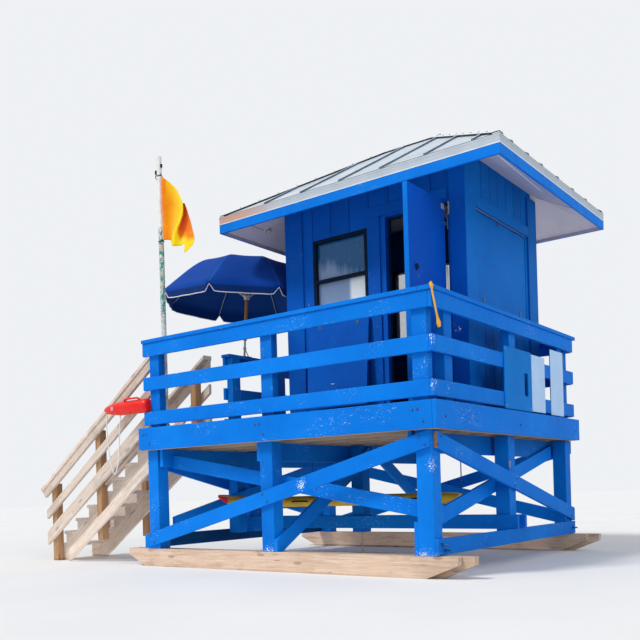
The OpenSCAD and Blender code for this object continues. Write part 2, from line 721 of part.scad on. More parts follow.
// Rescue board kept under the deck, with a raised nose
module rescue_board() {
    rx = 0.5*rb_w;
    xa = rb_x0;
    xb = rb_x0 + rb_l;
    zt = rb_z + rb_t;
    color([0.9, 0.7, 0.05]) translate([0, rb_y, 0]) rotate([0, 0, rb_yaw]) intersection() {
        translate([0, rx, 0]) rotate([90, 0, 0]) linear_extrude(rb_w)
            polygon([[xa, rb_z + 120], [xa + 160, rb_z + 45], [xa + 420, rb_z], [xb - 60, rb_z],
                     [xb, rb_z + 30], [xb, zt - 20], [xb - 60, zt], [xa + 420, zt], [xa + 160, zt + 20],
                     [xa, zt + 40]]);
        translate([0, 0, rb_z - 10]) linear_extrude(rb_t + 80)
            polygon([[xa, -60], [xa + 110, -150], [xa + 330, -225], [xa + 800, -rx], [xb - 500, -rx],
                     [xb, -170], [xb, 170], [xb - 500, rx], [xa + 800, rx], [xa + 330, 225],
                     [xa + 110, 150], [xa, 60]]);
    }
}
// Steel rods hung from the nearest joists clear of the rescue board, with flat bars under it
function joists_to(y) = (y - joist_y(0) - bt/2)/(joist_y(1) - joist_y(0));
module board_slings() {
    z = rb_z - 12.1;
    half = rb_w/2/cos(rb_yaw) + 15;
    color(metal) for (x = [-750, 950]) {
        mid = rb_y + x*tan(rb_yaw);
        ya = joist_y(floor(joists_to(mid - half))) + bt/2;
        yb = joist_y(ceil(joists_to(mid + half))) + bt/2;
        box(x - 20, ya - 20, z, 40, yb - ya + 40, 12);
        for (y = [ya, yb]) translate([x, y, z]) cylinder(r = 6, h = joist_z - z - 0.1);
    }
}

skids();
legs();
girders();
joists();
deck();
fascia();
braces();
ties();
rail_posts();
rails();
rail_caps();
front_wall();
front_wall_strip();
front_wall_over_door();
rear_wall();
left_wall();
right_wall();
corner_boards();
cabin_trim();
window_frames();
side_frames();
window_glass();
shutter_front();
shutter_front_hinges();
shutter_right();
shutter_right_hinges();
shutter_left();
door_frame();
door_leaf();
door_knob();
leaf_hinges();
fixed_hinges();
soffit();
roof_sheet();
eave_fascia();
drip_band();
roof_caps();
stair_stringers();
stair_treads();
stair_posts();
stair_rails();
side_panel();
signs();
flagpole();
flag();
umbrella_mount();
umbrella_pole();
umbrella_canopy();
rescue_can();
can_rope();
rescue_board();
board_slings();
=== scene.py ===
import json
import math
import random
import bpy
import bmesh
from mathutils import Vector, Matrix

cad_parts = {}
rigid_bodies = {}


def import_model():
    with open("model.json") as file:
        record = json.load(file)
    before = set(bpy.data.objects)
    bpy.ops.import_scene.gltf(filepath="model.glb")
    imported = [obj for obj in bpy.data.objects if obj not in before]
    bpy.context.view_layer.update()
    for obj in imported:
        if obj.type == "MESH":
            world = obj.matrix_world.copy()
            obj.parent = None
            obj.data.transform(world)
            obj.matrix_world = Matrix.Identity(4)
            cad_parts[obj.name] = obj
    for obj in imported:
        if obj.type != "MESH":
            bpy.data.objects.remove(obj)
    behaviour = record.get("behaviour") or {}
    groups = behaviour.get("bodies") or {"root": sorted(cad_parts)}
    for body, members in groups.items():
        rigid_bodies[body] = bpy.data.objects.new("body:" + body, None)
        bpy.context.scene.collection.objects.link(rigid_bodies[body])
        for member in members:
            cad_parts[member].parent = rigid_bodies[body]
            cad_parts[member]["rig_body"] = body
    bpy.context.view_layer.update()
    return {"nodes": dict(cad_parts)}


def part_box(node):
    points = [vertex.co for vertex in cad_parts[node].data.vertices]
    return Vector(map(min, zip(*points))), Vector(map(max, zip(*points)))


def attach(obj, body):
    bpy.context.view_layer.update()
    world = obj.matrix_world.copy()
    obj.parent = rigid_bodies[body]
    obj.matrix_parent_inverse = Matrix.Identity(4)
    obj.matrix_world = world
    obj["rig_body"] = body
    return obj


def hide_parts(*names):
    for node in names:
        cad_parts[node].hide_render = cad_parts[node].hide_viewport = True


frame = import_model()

NODES = frame["nodes"]
SC = bpy.context.scene
UP = Vector((0, 0, 1))

# Sizes repeated from the part's source, in metres
DECK_Z = 1.487
X1, Y1 = 1.81, 1.69
CX0, CX1, CY0, CY1 = -0.666, 1.504, -0.453, 1.267
RX0, RX1, RY0, RY1 = -1.196, 2.117, -0.983, 1.797
SHEET_Z = 3.798
SOFFIT_Z = 3.641
SLOPE = math.tan(math.radians(30))
HALF = (RY1 - RY0) / 2
RAIL_MID_Z = (1.588, 1.958, 2.322)
FRONT_POST_X = (-1.609, -0.041, 1.63)
RIGHT_POST_Y = (-1.32, 0.02, 1.3)
LEFT_POST_Y = (-0.28, 0.58, 1.3)
LEG_X = (-1.695, -0.097, 1.633)
LEG_Y = (-1.525, 0.018, 1.575)
POLE_AT = Vector((-1.572, -1.5, DECK_Z))
CAN_NOSE = Vector((-2.4142, -1.641, 1.7341))
UM_LEN = 1.201
LEAN = (Matrix.Translation((-1.7, -0.072, 2.43)) @ Matrix.Rotation(math.radians(3.9), 4, "Y")
        @ Matrix.Rotation(math.radians(-1.5), 4, "X"))

# The camera as fitted to the photograph: places in metres, lengths on the picture in pixels
CAM_AT = (5.011, -7.577, 0.77)
CAM_FORWARD = (-0.5988, 0.8009, 0)
CAM_ROLL = 0.029
IMAGE_PX = 640
FOCAL_PX = 816.5
SHIFT_PX = 170


def camera():
    """The photograph's camera: low in front of the right corner, with a slight roll."""
    data = bpy.data.cameras.new("camera")
    cam = bpy.data.objects.new("camera", data)
    SC.collection.objects.link(cam)
    SC.camera = cam
    fwd = Vector(CAM_FORWARD).normalized()
    side = Vector((fwd.y, -fwd.x, 0))
    right = side * math.cos(CAM_ROLL) - UP * math.sin(CAM_ROLL)
    up = UP * math.cos(CAM_ROLL) + side * math.sin(CAM_ROLL)
    m = Matrix((right, up, -fwd)).transposed().to_4x4()
    m.translation = CAM_AT
    cam.matrix_world = m
    data.sensor_width = 36
    data.sensor_fit = "HORIZONTAL"
    data.lens = data.sensor_width * FOCAL_PX / IMAGE_PX
    data.shift_y = SHIFT_PX / IMAGE_PX
    data.clip_end = 300


camera()


# Materials
class Tree:
    """A material with a shader, and short ways to add nodes to it."""

    def __init__(self, name):
        self.m = bpy.data.materials.new(name)
        self.m.use_nodes = True
        self.t = self.m.node_tree
        self.t.nodes.clear()
        self.out = self.t.nodes.new("ShaderNodeOutputMaterial")
        self.b = self.t.nodes.new("ShaderNodeBsdfPrincipled")
        self.t.links.new(self.b.outputs[0], self.out.inputs[0])

    def n(self, kind, **k):
        """A node; k holds its settings, its sockets by name, or by number as i_0, i_1 and so on."""
        node = self.t.nodes.new("ShaderNode" + kind)
        for key, v in k.items():
            if key.startswith("i_"):
                self.put(node.inputs[int(key[2:])], v)
            elif hasattr(node, key):
                setattr(node, key, v)
            else:
                self.put(node.inputs[key.replace("_", " ")], v)
        return node

    def put(self, sock, v):
        if isinstance(v, bpy.types.NodeSocket):
            self.t.links.new(v, sock)
        elif isinstance(v, bpy.types.Node):
            self.t.links.new(v.outputs[0], sock)
        elif isinstance(v, (tuple, list)) and len(v) == 3 and sock.type == "RGBA":
            sock.default_value = (*v, 1)
        else:
            sock.default_value = v

    def set(self, **k):
        for key, v in k.items():
            self.put(self.b.inputs[key.replace("_", " ")], v)
        return self

    def seed(self):
        return self.n("Attribute", attribute_name="seed", attribute_type="GEOMETRY").outputs["Color"]

    def board_uv(self, su=1.0, sv=1.0):
        """Coordinates along and across each board, moved by the board's own seed."""
        uv = self.n("UVMap", uv_map="board")
        mp = self.n("Mapping", Vector=uv.outputs[0], Scale=(su, sv, 1))
        far = self.n("VectorMath", operation="SCALE", i_0=self.seed(), Scale=37.0)
        return self.n("VectorMath", operation="ADD", i_0=mp.outputs[0], i_1=far.outputs[0]).outputs[0]

    def place(self):
        return self.n("TexCoord").outputs["Object"]

    def noise(self, vec, scale, detail=4.0, rough=0.55, dist=0.0):
        return self.n("TexNoise", Vector=vec, Scale=scale, Detail=detail, Roughness=rough,
                      Distortion=dist).outputs[0]

    def step(self, fac, a, b):
        """0 below a, 1 above b, and the reverse where a is above b."""
        return self.n("MapRange", i_0=fac, i_1=a, i_2=b).outputs[0]

    def mix(self, fac, a, b, mode="MIX"):
        x = self.n("Mix", data_type="RGBA", blend_type=mode)
        self.put(x.inputs[0], fac)
        self.put(x.inputs[6], a)
        self.put(x.inputs[7], b)
        return x.outputs[2]

    def math(self, op, a, b=0.0, c=0.0, clamp=False):
        x = self.n("Math", operation=op)
        x.use_clamp = clamp
        for i, v in enumerate((a, b, c)):
            self.put(x.inputs[i], v)
        return x.outputs[0]

    def mul(self, a, b):
        return self.math("MULTIPLY", a, b)

    def mad(self, a, b, c):
        """a times b, plus c."""
        return self.math("MULTIPLY_ADD", a, b, c)

    def away(self, at):
        """The distance from a point of the object."""
        return self.n("VectorMath", operation="DISTANCE", i_0=self.place(), i_1=at).outputs["Value"]

    def near(self, spot):
        """1 inside a ragged ball (x, y, z, r) of the object, 0 outside."""
        r = spot[3]
        d = self.math("ADD", self.away(spot[:3]), self.mul(self.noise(self.place(), 45.0, 4, 0.7), r))
        return self.step(d, r * 1.55, r * 1.4)

    def flakes(self, spot):
        """Ragged flakes that thin out away from a point (x, y, z, r) of the object."""
        ragged = self.noise(self.place(), 75.0, 5, 0.7)
        return self.step(self.mad(self.away(spot[:3]), -0.12 / spot[3], ragged), 0.46, 0.48)

    def bump(self, height, strength, dist=0.002):
        return self.n("Bump", Height=height, Strength=strength, Distance=dist).outputs[0]


PALE_FLAKE = (0.66, 0.78, 0.88)
BARE_WOOD = (0.46, 0.19, 0.05)


def painted(name, base, dark, light, chips=0.5, grain=0.35, rough=0.55, bare=(), chip=(0.5, 0.68, 0.86),
            wear=0.0, scuffed=(), extra=None):
    """Old paint on boards: grain under it, faded and darker areas, pale scuffs and bare chips."""
    t = Tree(name)
    v = t.board_uv()
    g = t.noise(t.board_uv(3.0, 55.0), 1.0, 5, 0.65, 0.4)
    mid = t.noise(v, 9.0, 5, 0.6)
    c = t.mix(t.step(t.noise(v, 1.3, 3), 0.36, 0.66), dark, light)
    c = t.mix(t.step(mid, 0.2, 0.72), c, base)
    c = t.mix(t.mul(t.step(g, 0.5, 0.74), grain * 0.6), c, dark)
    c = t.mix(1.0, c, t.mad(t.seed(), 0.16, 0.92), "MULTIPLY")
    patch = t.step(t.noise(v, 2.4, 2), 0.56 - wear * 0.25, 0.64 - wear * 0.2)
    streak = t.noise(t.board_uv(9.0, 24.0), 2.6, 7, 0.76, 1.2)
    streak = t.step(streak, 0.605 - wear * 0.08, 0.635 - wear * 0.08)
    dots = t.step(t.noise(v, 70.0, 3, 0.6), 0.68 - wear * 0.08, 0.71 - wear * 0.08)
    scuff = t.math("MULTIPLY", t.mul(t.math("MAXIMUM", streak, dots), patch), chips, clamp=True)
    c = t.mix(scuff, c, chip)
    pits = t.mul(t.step(t.noise(v, 28.0, 2, 0.5), 0.74, 0.79), 0.6)
    c = t.mix(pits, c, [x * 0.25 for x in dark])
    for spot in scuffed:
        c = t.mix(t.flakes(spot), c, PALE_FLAKE)
    for spot in bare:
        c = t.mix(t.near(spot), c, BARE_WOOD)
    if extra:
        c = extra(t, c)
    t.set(Base_Color=c, Roughness=t.mad(mid, 0.22, rough - 0.1))
    h = t.mad(g, 0.6, t.mul(scuff, -0.6))
    t.set(Normal=t.bump(h, 0.5, 0.002))
    t.b.inputs["Specular IOR Level"].default_value = 0.06
    return t.m


def timber(name, base, dark, light, knots=True, rough=0.8):
    """Weathered bare softwood with long grain, knots, checks and stain."""
    t = Tree(name)
    v = t.board_uv()
    gv = t.board_uv(1.6, 38.0)
    g = t.noise(gv, 1.0, 6, 0.68, 1.4)
    f = t.noise(t.board_uv(6.0, 150.0), 1.0, 4, 0.6)
    c = t.mix(t.step(g, 0.3, 0.7), dark, light)
    c = t.mix(t.mad(t.step(t.noise(v, 2.4, 3), 0.3, 0.7), 0.6, 0.15), c, base)
    c = t.mix(t.mul(t.step(f, 0.5, 0.72), 0.35), c, dark)
    crack = t.step(t.noise(gv, 2.7, 2, 0.4, 0.6), 0.715, 0.735)
    c = t.mix(t.mul(crack, 0.75), c, [x * 0.25 for x in dark])
    if knots:
        cells = t.n("TexVoronoi", Vector=t.board_uv(2.2, 6.5), Scale=1.0, Randomness=1.0)
        k = t.step(cells.outputs["Distance"], 0.13, 0.07)
        c = t.mix(t.mul(k, 0.5), c, [x * 0.45 for x in dark])
    stain = t.step(t.noise(t.place(), 3.0, 4, 0.6), 0.52, 0.7)
    c = t.mix(t.mul(stain, 0.3), c, [x * 0.6 for x in dark])
    c = t.mix(1.0, c, t.mad(t.seed(), 0.3, 0.85), "MULTIPLY")
    h = t.math("SUBTRACT", t.mad(g, 0.7, t.mul(f, 0.4)), crack)
    t.set(Base_Color=c, Roughness=rough, Normal=t.bump(h, 0.8, 0.003))
    t.b.inputs["Specular IOR Level"].default_value = 0.2
    return t.m


def plain(name, base, dark, rough=0.5, scale=8.0, metallic=0.0, bump=0.15, spec=0.4, spot=None, extra=None):
    """A surface with mottled tone, a fine bump and, if given, spots of another colour."""
    t = Tree(name)
    co = t.place()
    a = t.noise(co, scale, 5, 0.6)
    b = t.noise(co, 180.0, 3, 0.6)
    c = t.mix(t.step(a, 0.32, 0.68), dark, base)
    if spot:
        s = t.step(t.noise(co, scale * 5, 4, 0.6), 0.6, 0.68)
        c = t.mix(t.mul(s, spot[1]), c, spot[0])
    if extra:
        c = extra(t, c)
    t.set(Base_Color=c, Roughness=t.mad(a, 0.25, rough - 0.12))
    t.set(Normal=t.bump(t.mad(b, 0.5, a), bump, 0.002))
    t.b.inputs["Metallic"].default_value = metallic
    t.b.inputs["Specular IOR Level"].default_value = spec
    return t.m


def woven(name, base, dark, light=None, thread=0.0022, rough=0.85, painted_light_at=0.5, sheen=0.1, low=None):
    """Cloth: a plain weave, soft patches, painted light where the mesh's value of light and shade is high
    and painted shade where it is low.
    """
    t = Tree(name)
    uv = t.n("UVMap", uv_map="board").outputs[0]
    turns = 1 / (2 * math.pi * thread)
    w1 = t.n("TexWave", Vector=uv, Scale=turns, Distortion=0.4, bands_direction="X").outputs[1]
    w2 = t.n("TexWave", Vector=uv, Scale=turns, Distortion=0.4, bands_direction="Y").outputs[1]
    weave = t.mul(w1, w2)
    big = t.noise(t.place(), 4.0, 4, 0.6)
    c = t.mix(t.step(big, 0.3, 0.7), dark, base)
    if light:
        light_and_shade = t.n("Attribute", attribute_name="light_and_shade", attribute_type="GEOMETRY").outputs["Fac"]
        # Painted light: the light colour where the value is high; painted shade: the low colour, or else the
        # dark one, where it is low.
        c = t.mix(t.step(light_and_shade, painted_light_at, 1.0), c, light)
        c = t.mix(t.step(light_and_shade, 0.35, 0.0), c, low or dark)
    c = t.mix(t.mul(weave, 0.22), c, [min(1, x * 1.4 + 0.004) for x in base])
    t.set(Base_Color=c, Roughness=rough, Normal=t.bump(t.math("ADD", weave, big), 0.3, 0.0012))
    t.b.inputs["Sheen Weight"].default_value = sheen
    t.b.inputs["Specular IOR Level"].default_value = 0.12
    return t.m


def pink_end(t, c):
    """The left end of the pale band has gone rusty pink."""
    x = t.n("SeparateXYZ", Vector=t.place()).outputs[0]
    x = t.mad(t.noise(t.place(), 5.0, 4, 0.7), 0.5, x)
    return t.mix(t.step(x, -0.1, -0.55), c, (0.52, 0.33, 0.28))


def soffit_shade_and_filler(t, c):
    """Painted shade that makes the right side of the soffit greyer, and a white line of filler there."""
    at = t.n("SeparateXYZ", Vector=t.place()).outputs
    line_x, line_turn = 1.914, 0.0883
    # Painted shade: the right side of the soffit greyer.
    c = t.mix(t.step(at[0], 1.2, 1.7), c, t.mix(1.0, c, (0.74, 0.75, 0.8), "MULTIPLY"))
    off = t.math("ABSOLUTE", t.mad(at[1], line_turn, t.math("SUBTRACT", at[0], line_x)))
    off = t.mad(t.noise(t.place(), 30.0, 4, 0.7), 0.022, off)
    reach = t.mul(t.step(at[1], -0.74, -0.6), t.step(at[1], 0.66, 0.5))
    line = t.mul(t.step(off, 0.034, 0.023), reach)
    return t.mix(line, c, (0.97, 0.98, 1.0))


def peeled(t, c):
    """White paint over teal: whole near the top, peeled to teal and bare pink lower down."""
    z = t.n("SeparateXYZ", Vector=t.place()).outputs[2]
    flake = t.noise(t.n("Mapping", Vector=t.place(), Scale=(1, 1, 0.45)).outputs[0], 42.0, 5, 0.65)
    low = t.mul(t.step(z, 3.66, 3.6), t.step(z, 2.45, 2.75))
    teal = t.mul(t.step(flake, 0.47, 0.51), low)
    c = t.mix(teal, c, (0.02, 0.22, 0.19))
    c = t.mix(t.mul(t.step(flake, 0.43, 0.4), low), c, (0.05, 0.1, 0.1))
    worn = t.step(t.noise(t.place(), 17.0, 5, 0.6), 0.58, 0.62)
    c = t.mix(t.mul(worn, t.step(z, 3.55, 3.45)), c, (0.52, 0.4, 0.34))
    thin = t.mul(t.step(flake, 0.57, 0.6), t.step(z, 2.6, 2.4))
    return t.mix(thin, c, (0.1, 0.26, 0.28))


def glass(name, alpha, clear=False):
    """Tinted panes with salt film: dark from outside, with a painted reflection that is paler low down and
    bright on part of the front pane; or clear with a trace of film.
    """
    t = Tree(name)
    a = t.noise(t.place(), 3.0, 4)
    salt = t.step(t.noise(t.place(), 26.0, 5, 0.7), 0.55, 0.75)
    x, y, z = t.n("SeparateXYZ", Vector=t.place()).outputs
    reflection_wobble = t.noise(t.n("Mapping", Vector=t.place(), Scale=(14, 14, 0.8)).outputs[0], 1.0, 4, 0.6)
    low = t.mad(reflection_wobble, 0.3, t.mad(x, 0.35, z))
    # Painted reflection: paler below a slanting wavy line, and a bright patch on the lower right of the
    # front pane.
    c = t.mix(t.step(low, 3.34, 3.22), (0.004, 0.11, 0.3), (0.22, 0.34, 0.56))
    pane = t.mul(t.step(z, 3.02, 2.98), t.step(x, 0.12, 0.16))
    c = t.mix(t.mul(pane, t.step(y, 0.0, -0.1)), c, (0.86, 0.95, 1.0))
    c = t.mix(t.mul(salt, 0.2), c, (0.2, 0.4, 0.6))
    if clear:
        c = t.mix(t.mul(salt, 0.3), (0.42, 0.62, 0.86), (0.62, 0.78, 0.92))
    t.set(Base_Color=c, Normal=t.bump(a, 0.06, 0.002), Roughness=t.mad(salt, 0.12, 0.03))
    t.b.inputs["Alpha"].default_value = alpha
    t.b.inputs["Specular IOR Level"].default_value = 0.35
    return t.m


# Places (x, y, z, r) where the legs are bare, and where legs, rails and walls are scuffed
LEG_SPOTS = ((1.705, -0.03, 0.985, 0.02), (1.705, -0.03, 0.955, 0.014))
LEG_SCUFFS = ((1.6, -1.6, 0.17, 0.08), (1.7, -1.6, 0.14, 0.08), (-0.09, -1.6, 0.17, 0.08),
              (1.775, -1.66, 2.12, 0.07), (1.775, -1.66, 1.8, 0.08), (1.72, -1.6, 0.95, 0.06))
RAIL_SCUFFS = ((1.8, -1.68, 1.99, 0.06), (1.8, -1.68, 1.63, 0.06), (0.35, -1.64, 0.82, 0.05))
WALL_SCUFFS = ((1.36, -0.46, 2.33, 0.02), (1.43, -0.46, 2.28, 0.025), (1.38, -0.46, 2.27, 0.02))
BLUE = painted("blue paint", (0.001, 0.155, 0.62), (0.001, 0.11, 0.47), (0.004, 0.2, 0.7), 0.7,
               bare=LEG_SPOTS, scuffed=LEG_SCUFFS)
BLUE_L = painted("blue paint rails", (0.001, 0.172, 0.69), (0.001, 0.135, 0.57), (0.004, 0.21, 0.75),
                 0.85, scuffed=RAIL_SCUFFS)
BLUE_X = painted("worn board edges", (0.002, 0.175, 0.69), (0.001, 0.13, 0.56), (0.005, 0.215, 0.75),
                 0.8, chip=(0.5, 0.66, 0.82), wear=0.15)
# Wall paint in two copies: this darker, less green one is painted shade; the right wall's lighter, greener
# one is painted light.
BLUE_D = painted("blue wall paint with painted shade", (0.001, 0.098, 0.5), (0.001, 0.076, 0.41), (0.002, 0.116, 0.56),
                 0.3, grain=0.25, scuffed=WALL_SCUFFS)
BLUE_WALL_LIT = painted("blue wall paint with painted light", (0.001, 0.15, 0.55), (0.001, 0.1, 0.41), (0.002, 0.155, 0.56),
                 0.3, grain=0.25)
# Door paint darkened and made less green as painted shade.
BLUE_DOOR_SHADE = painted("door paint with painted shade", (0.001, 0.084, 0.51), (0.001, 0.07, 0.44), (0.001, 0.1, 0.56), 0.2,
                    grain=0.2)
# Very dark tie paint: painted shade for the ties' inner faces.
BLUE_TIE_SHADE = painted("tie paint with painted shade", (0.001, 0.036, 0.13), (0.001, 0.024, 0.09), (0.002, 0.06, 0.19), 0.2)
# Dark paint for the walls' inner faces: painted shade inside the cabin.
BLUE_INSIDE_SHADE = painted("blue paint inside with painted shade", (0.002, 0.045, 0.19), (0.001, 0.028, 0.12), (0.003, 0.07, 0.25),
                  0.15)
BARE = timber("bare timber", (0.42, 0.33, 0.25), (0.26, 0.18, 0.12), (0.56, 0.47, 0.38))
DECK_T = timber("deck boards", (0.4, 0.36, 0.32), (0.24, 0.2, 0.17), (0.52, 0.48, 0.44))
RAIL_T = timber("stair timber", (0.66, 0.56, 0.49), (0.38, 0.27, 0.2), (0.82, 0.76, 0.7))
# Dark blue-brown strip: painted shadow under the header mixed with bare worn wood.
WORN_SHADOW_STRIP = timber("worn strip with painted shadow", (0.16, 0.17, 0.24), (0.04, 0.09, 0.2), (0.34, 0.26, 0.22), knots=False)
POST_T = timber("stair post timber", (0.38, 0.21, 0.1), (0.22, 0.11, 0.05), (0.5, 0.33, 0.2))
SKID_T = timber("skid timber", (0.56, 0.41, 0.31), (0.3, 0.18, 0.11), (0.72, 0.6, 0.5))
END_T = timber("cut ends", (0.45, 0.2, 0.07), (0.3, 0.12, 0.04), (0.6, 0.33, 0.14), knots=False)
PLY = painted("panel paint", (0.001, 0.17, 0.57), (0.001, 0.13, 0.46), (0.002, 0.205, 0.64), 0.3)
DARK = plain("dark frame", (0.004, 0.018, 0.046), (0.002, 0.008, 0.022), 0.45, 12, spec=0.05,
             spot=((0.07, 0.05, 0.04), 0.25))
STEEL = plain("hinge steel", (0.52, 0.52, 0.51), (0.36, 0.35, 0.33), 0.42, 60, 0.15, 0.3,
              spot=((0.24, 0.15, 0.09), 0.25))
BOLT = plain("painted bolts", (0.02, 0.13, 0.42), (0.01, 0.05, 0.15), 0.45, 90, 0.2, 0.3,
             spot=((0.2, 0.1, 0.05), 0.6))
# Soffit paint, with painted shade greying its right side.
SOFF = painted("soffit paint with painted shade", (0.86, 0.8, 0.82), (0.74, 0.66, 0.68), (0.92, 0.88, 0.9), 0.6, 0.2, 0.7,
               chip=(0.52, 0.42, 0.38), extra=soffit_shade_and_filler)
# Soffit-coloured paint for the eave boards' inner faces and lower edges, darkened as painted shade.
SOFF_EDGE_SHADE = painted("soffit edge paint with painted shade", (0.46, 0.43, 0.48), (0.34, 0.31, 0.36), (0.56, 0.52, 0.56), 0.6,
                  0.2, 0.7, chip=(0.3, 0.24, 0.22))
ROOF = plain("roof metal", (0.58, 0.64, 0.7), (0.4, 0.47, 0.55), 0.38, 3, 0.25, 0.12,
             spot=((0.36, 0.3, 0.27), 0.3))
CAP = plain("hip cap metal", (0.74, 0.77, 0.79), (0.62, 0.66, 0.7), 0.4, 4, 0.1, 0.12,
            spot=((0.42, 0.34, 0.28), 0.2))
# Dark grey for the ribs' sides: painted shade, with the tops in the roof metal.
ROOF_SIDE_SHADE = plain("roof rib sides with painted shade", (0.12, 0.17, 0.24), (0.06, 0.09, 0.13), 0.5, 6, 0.2)
# Near black strips: painted shadow under the cover edges and along the top of the pale band.
SHADOW_LINE = plain("painted shadow line", (0.012, 0.018, 0.028), (0.006, 0.008, 0.012), 0.6, 20, spec=0.2)
DRIP = plain("drip edge", (0.45, 0.5, 0.56), (0.37, 0.43, 0.51), 0.5, 4, 0.1, 0.15, extra=pink_end)
SIGN = plain("sign board", (0.4, 0.6, 0.86), (0.33, 0.52, 0.8), 0.4, 5, spot=((0.26, 0.42, 0.66), 0.4))
WHITE = plain("pole paint", (0.76, 0.75, 0.73), (0.62, 0.61, 0.58), 0.5, 20, extra=peeled)
PLASTIC = plain("white plastic", (0.66, 0.66, 0.64), (0.54, 0.53, 0.5), 0.4, 30)
# Flag cloth: the yellow is painted light where sun shines through the fold; the dark orange serves for soft
# patches and for painted shade on the back fold.
FLAG = woven("flag cloth with painted light and shade", (0.8, 0.3, 0.002), (0.74, 0.1, 0.003), (0.86, 0.66, 0.01))
# Canopy cloth: a painted highlight along the seams and painted shade on the hanging edge; the underside is a
# darker copy as painted shade.
CANOPY = woven("canopy cloth with painted highlight and shade", (0.001, 0.054, 0.33), (0.001, 0.046, 0.29), (0.01, 0.1, 0.42),
               painted_light_at=0.8, sheen=0.02, low=(0.001, 0.022, 0.13))
CANOPY_UNDER_SHADE = woven("canopy underside with painted shade", (0.001, 0.04, 0.2), (0.001, 0.033, 0.17), sheen=0.02)
PIPING = woven("white piping", (0.7, 0.71, 0.76), (0.58, 0.59, 0.64), thread=0.003)
POLE = timber("pole wood", (0.45, 0.2, 0.06), (0.3, 0.12, 0.03), (0.6, 0.32, 0.12), knots=False)
CAN = plain("can plastic", (0.76, 0.007, 0.003), (0.62, 0.005, 0.002), 0.35, 14, 0, 0.1, 0.3,
            ((0.78, 0.16, 0.12), 0.15))
FOAM = plain("board skin", (0.55, 0.36, 0.01), (0.42, 0.26, 0.008), 0.4, 9, 0, 0.1, 0.4,
             ((0.6, 0.5, 0.2), 0.3))
ROPE = woven("rope", (0.74, 0.72, 0.69), (0.6, 0.57, 0.54), thread=0.004)
STRAP = woven("strap", (0.95, 0.52, 0.02), (0.85, 0.4, 0.01))
# The tinted glass carries the painted reflection, the clear glass only film.
GLASS = glass("window glass", 0.88)
GLASS_CLEAR = glass("clear window glass", 0.3, True)
SOFF_NAIL = plain("soffit nails", (0.36, 0.3, 0.28), (0.22, 0.15, 0.12), 0.6, 40)


# Mesh helpers
def finish_mesh(name, bm, mats, body="tower", replaces=(), smooth=None):
    """Turns a bmesh into a piece on a body; edges above the angle smooth, in degrees, stay sharp."""
    me = bpy.data.meshes.new(name)
    bm.to_mesh(me)
    bm.free()
    for m in mats:
        me.materials.append(m)
    if smooth:
        me.shade_smooth()
        me.set_sharp_from_angle(angle=math.radians(smooth))
    o = bpy.data.objects.new(name, me)
    SC.collection.objects.link(o)
    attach(o, body)
    if replaces:
        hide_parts(*replaces)
    return o


def parts_of(bm):
    """The loose parts of a mesh, each as a set of its points."""
    left, out = set(bm.verts), []
    while left:
        stack = [left.pop()]
        part = set(stack)
        while stack:
            for e in stack.pop().link_edges:
                for v in e.verts:
                    if v in left:
                        left.discard(v)
                        part.add(v)
                        stack.append(v)
        out.append(part)
    return out


def lowest(part):
    return [round(c, 4) for c in min((v.co for v in part), key=lambda c: (c.x, c.y, c.z))]


def edge_rank(e):
    """Longest edge first, of equal ones the one that runs most along X, and of those the place decides."""
    a, b = (v.co for v in e.verts)
    return round(e.calc_length(), 4), round(abs((a - b).x), 4), [round(c, 4) for c in a + b]


def board_data(bm, seed=0, key=None):
    """UVs along and across each loose board and one seed per board. Returns the boards' end faces."""
    bm.normal_update()
    uv = bm.loops.layers.uv.new("board")
    sd = bm.verts.layers.float_color.new("seed")
    rng = random.Random(seed)
    end_grain = 8
    ends = []
    for part in sorted(parts_of(bm), key=lowest):
        longest = max({e for v in part for e in v.link_edges}, key=edge_rank)
        u = (longest.verts[1].co - longest.verts[0].co).normalized()
        own = random.Random(key(part)) if key else rng
        tone = (own.random(), own.random(), own.random(), 1)
        for v in part:
            v[sd] = tone
        for f in {f for v in part for f in v.link_faces}:
            n = f.normal
            end = abs(n.dot(u)) > 0.6
            if end:
                ends.append(f)
            a = n.orthogonal().normalized() if end else u
            b = n.cross(a)
            for lp in f.loops:
                lp[uv].uv = (lp.vert.co.dot(a) * (end_grain if end else 1), lp.vert.co.dot(b))
    return ends


def soften(bm, width, segs=1, wear=None):
    """Rounds the sharp edges; wear is the material number of the rounded strips."""
    es = [e for e in bm.edges if len(e.link_faces) == 2 and e.calc_face_angle(0) > 0.5]
    bmesh.ops.bevel(bm, geom=es, offset=width, segments=segs, profile=0.6, affect="EDGES",
                    clamp_overlap=True, loop_slide=True, material=-1 if wear is None else wear)


def node_mesh(node):
    """A CAD node's mesh with the flat faces joined up."""
    bm = bmesh.new()
    bm.from_mesh(NODES[node].data)
    bmesh.ops.remove_doubles(bm, verts=bm.verts, dist=1e-5)
    bmesh.ops.dissolve_limit(bm, angle_limit=math.radians(2), verts=bm.verts, edges=bm.edges)
    bm.normal_update()
    return bm


def dress(node, mats, bevel=0.003, seed=1, ends=None, wear=None, pick=None):
    """A CAD node's boards with rounded edges and a grain of their own, standing for the node."""
    bm = node_mesh(node)
    for f in bm.faces:
        f.material_index = 0
    for f in board_data(bm, seed):
        if ends and ends(f):
            f.material_index = 1
    for f in bm.faces:
        if pick and pick(f):
            f.material_index = 1
    if bevel:
        soften(bm, bevel, 2, wear)
    return finish_mesh(node + "_boards", bm, mats, NODES[node]["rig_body"], (node,))


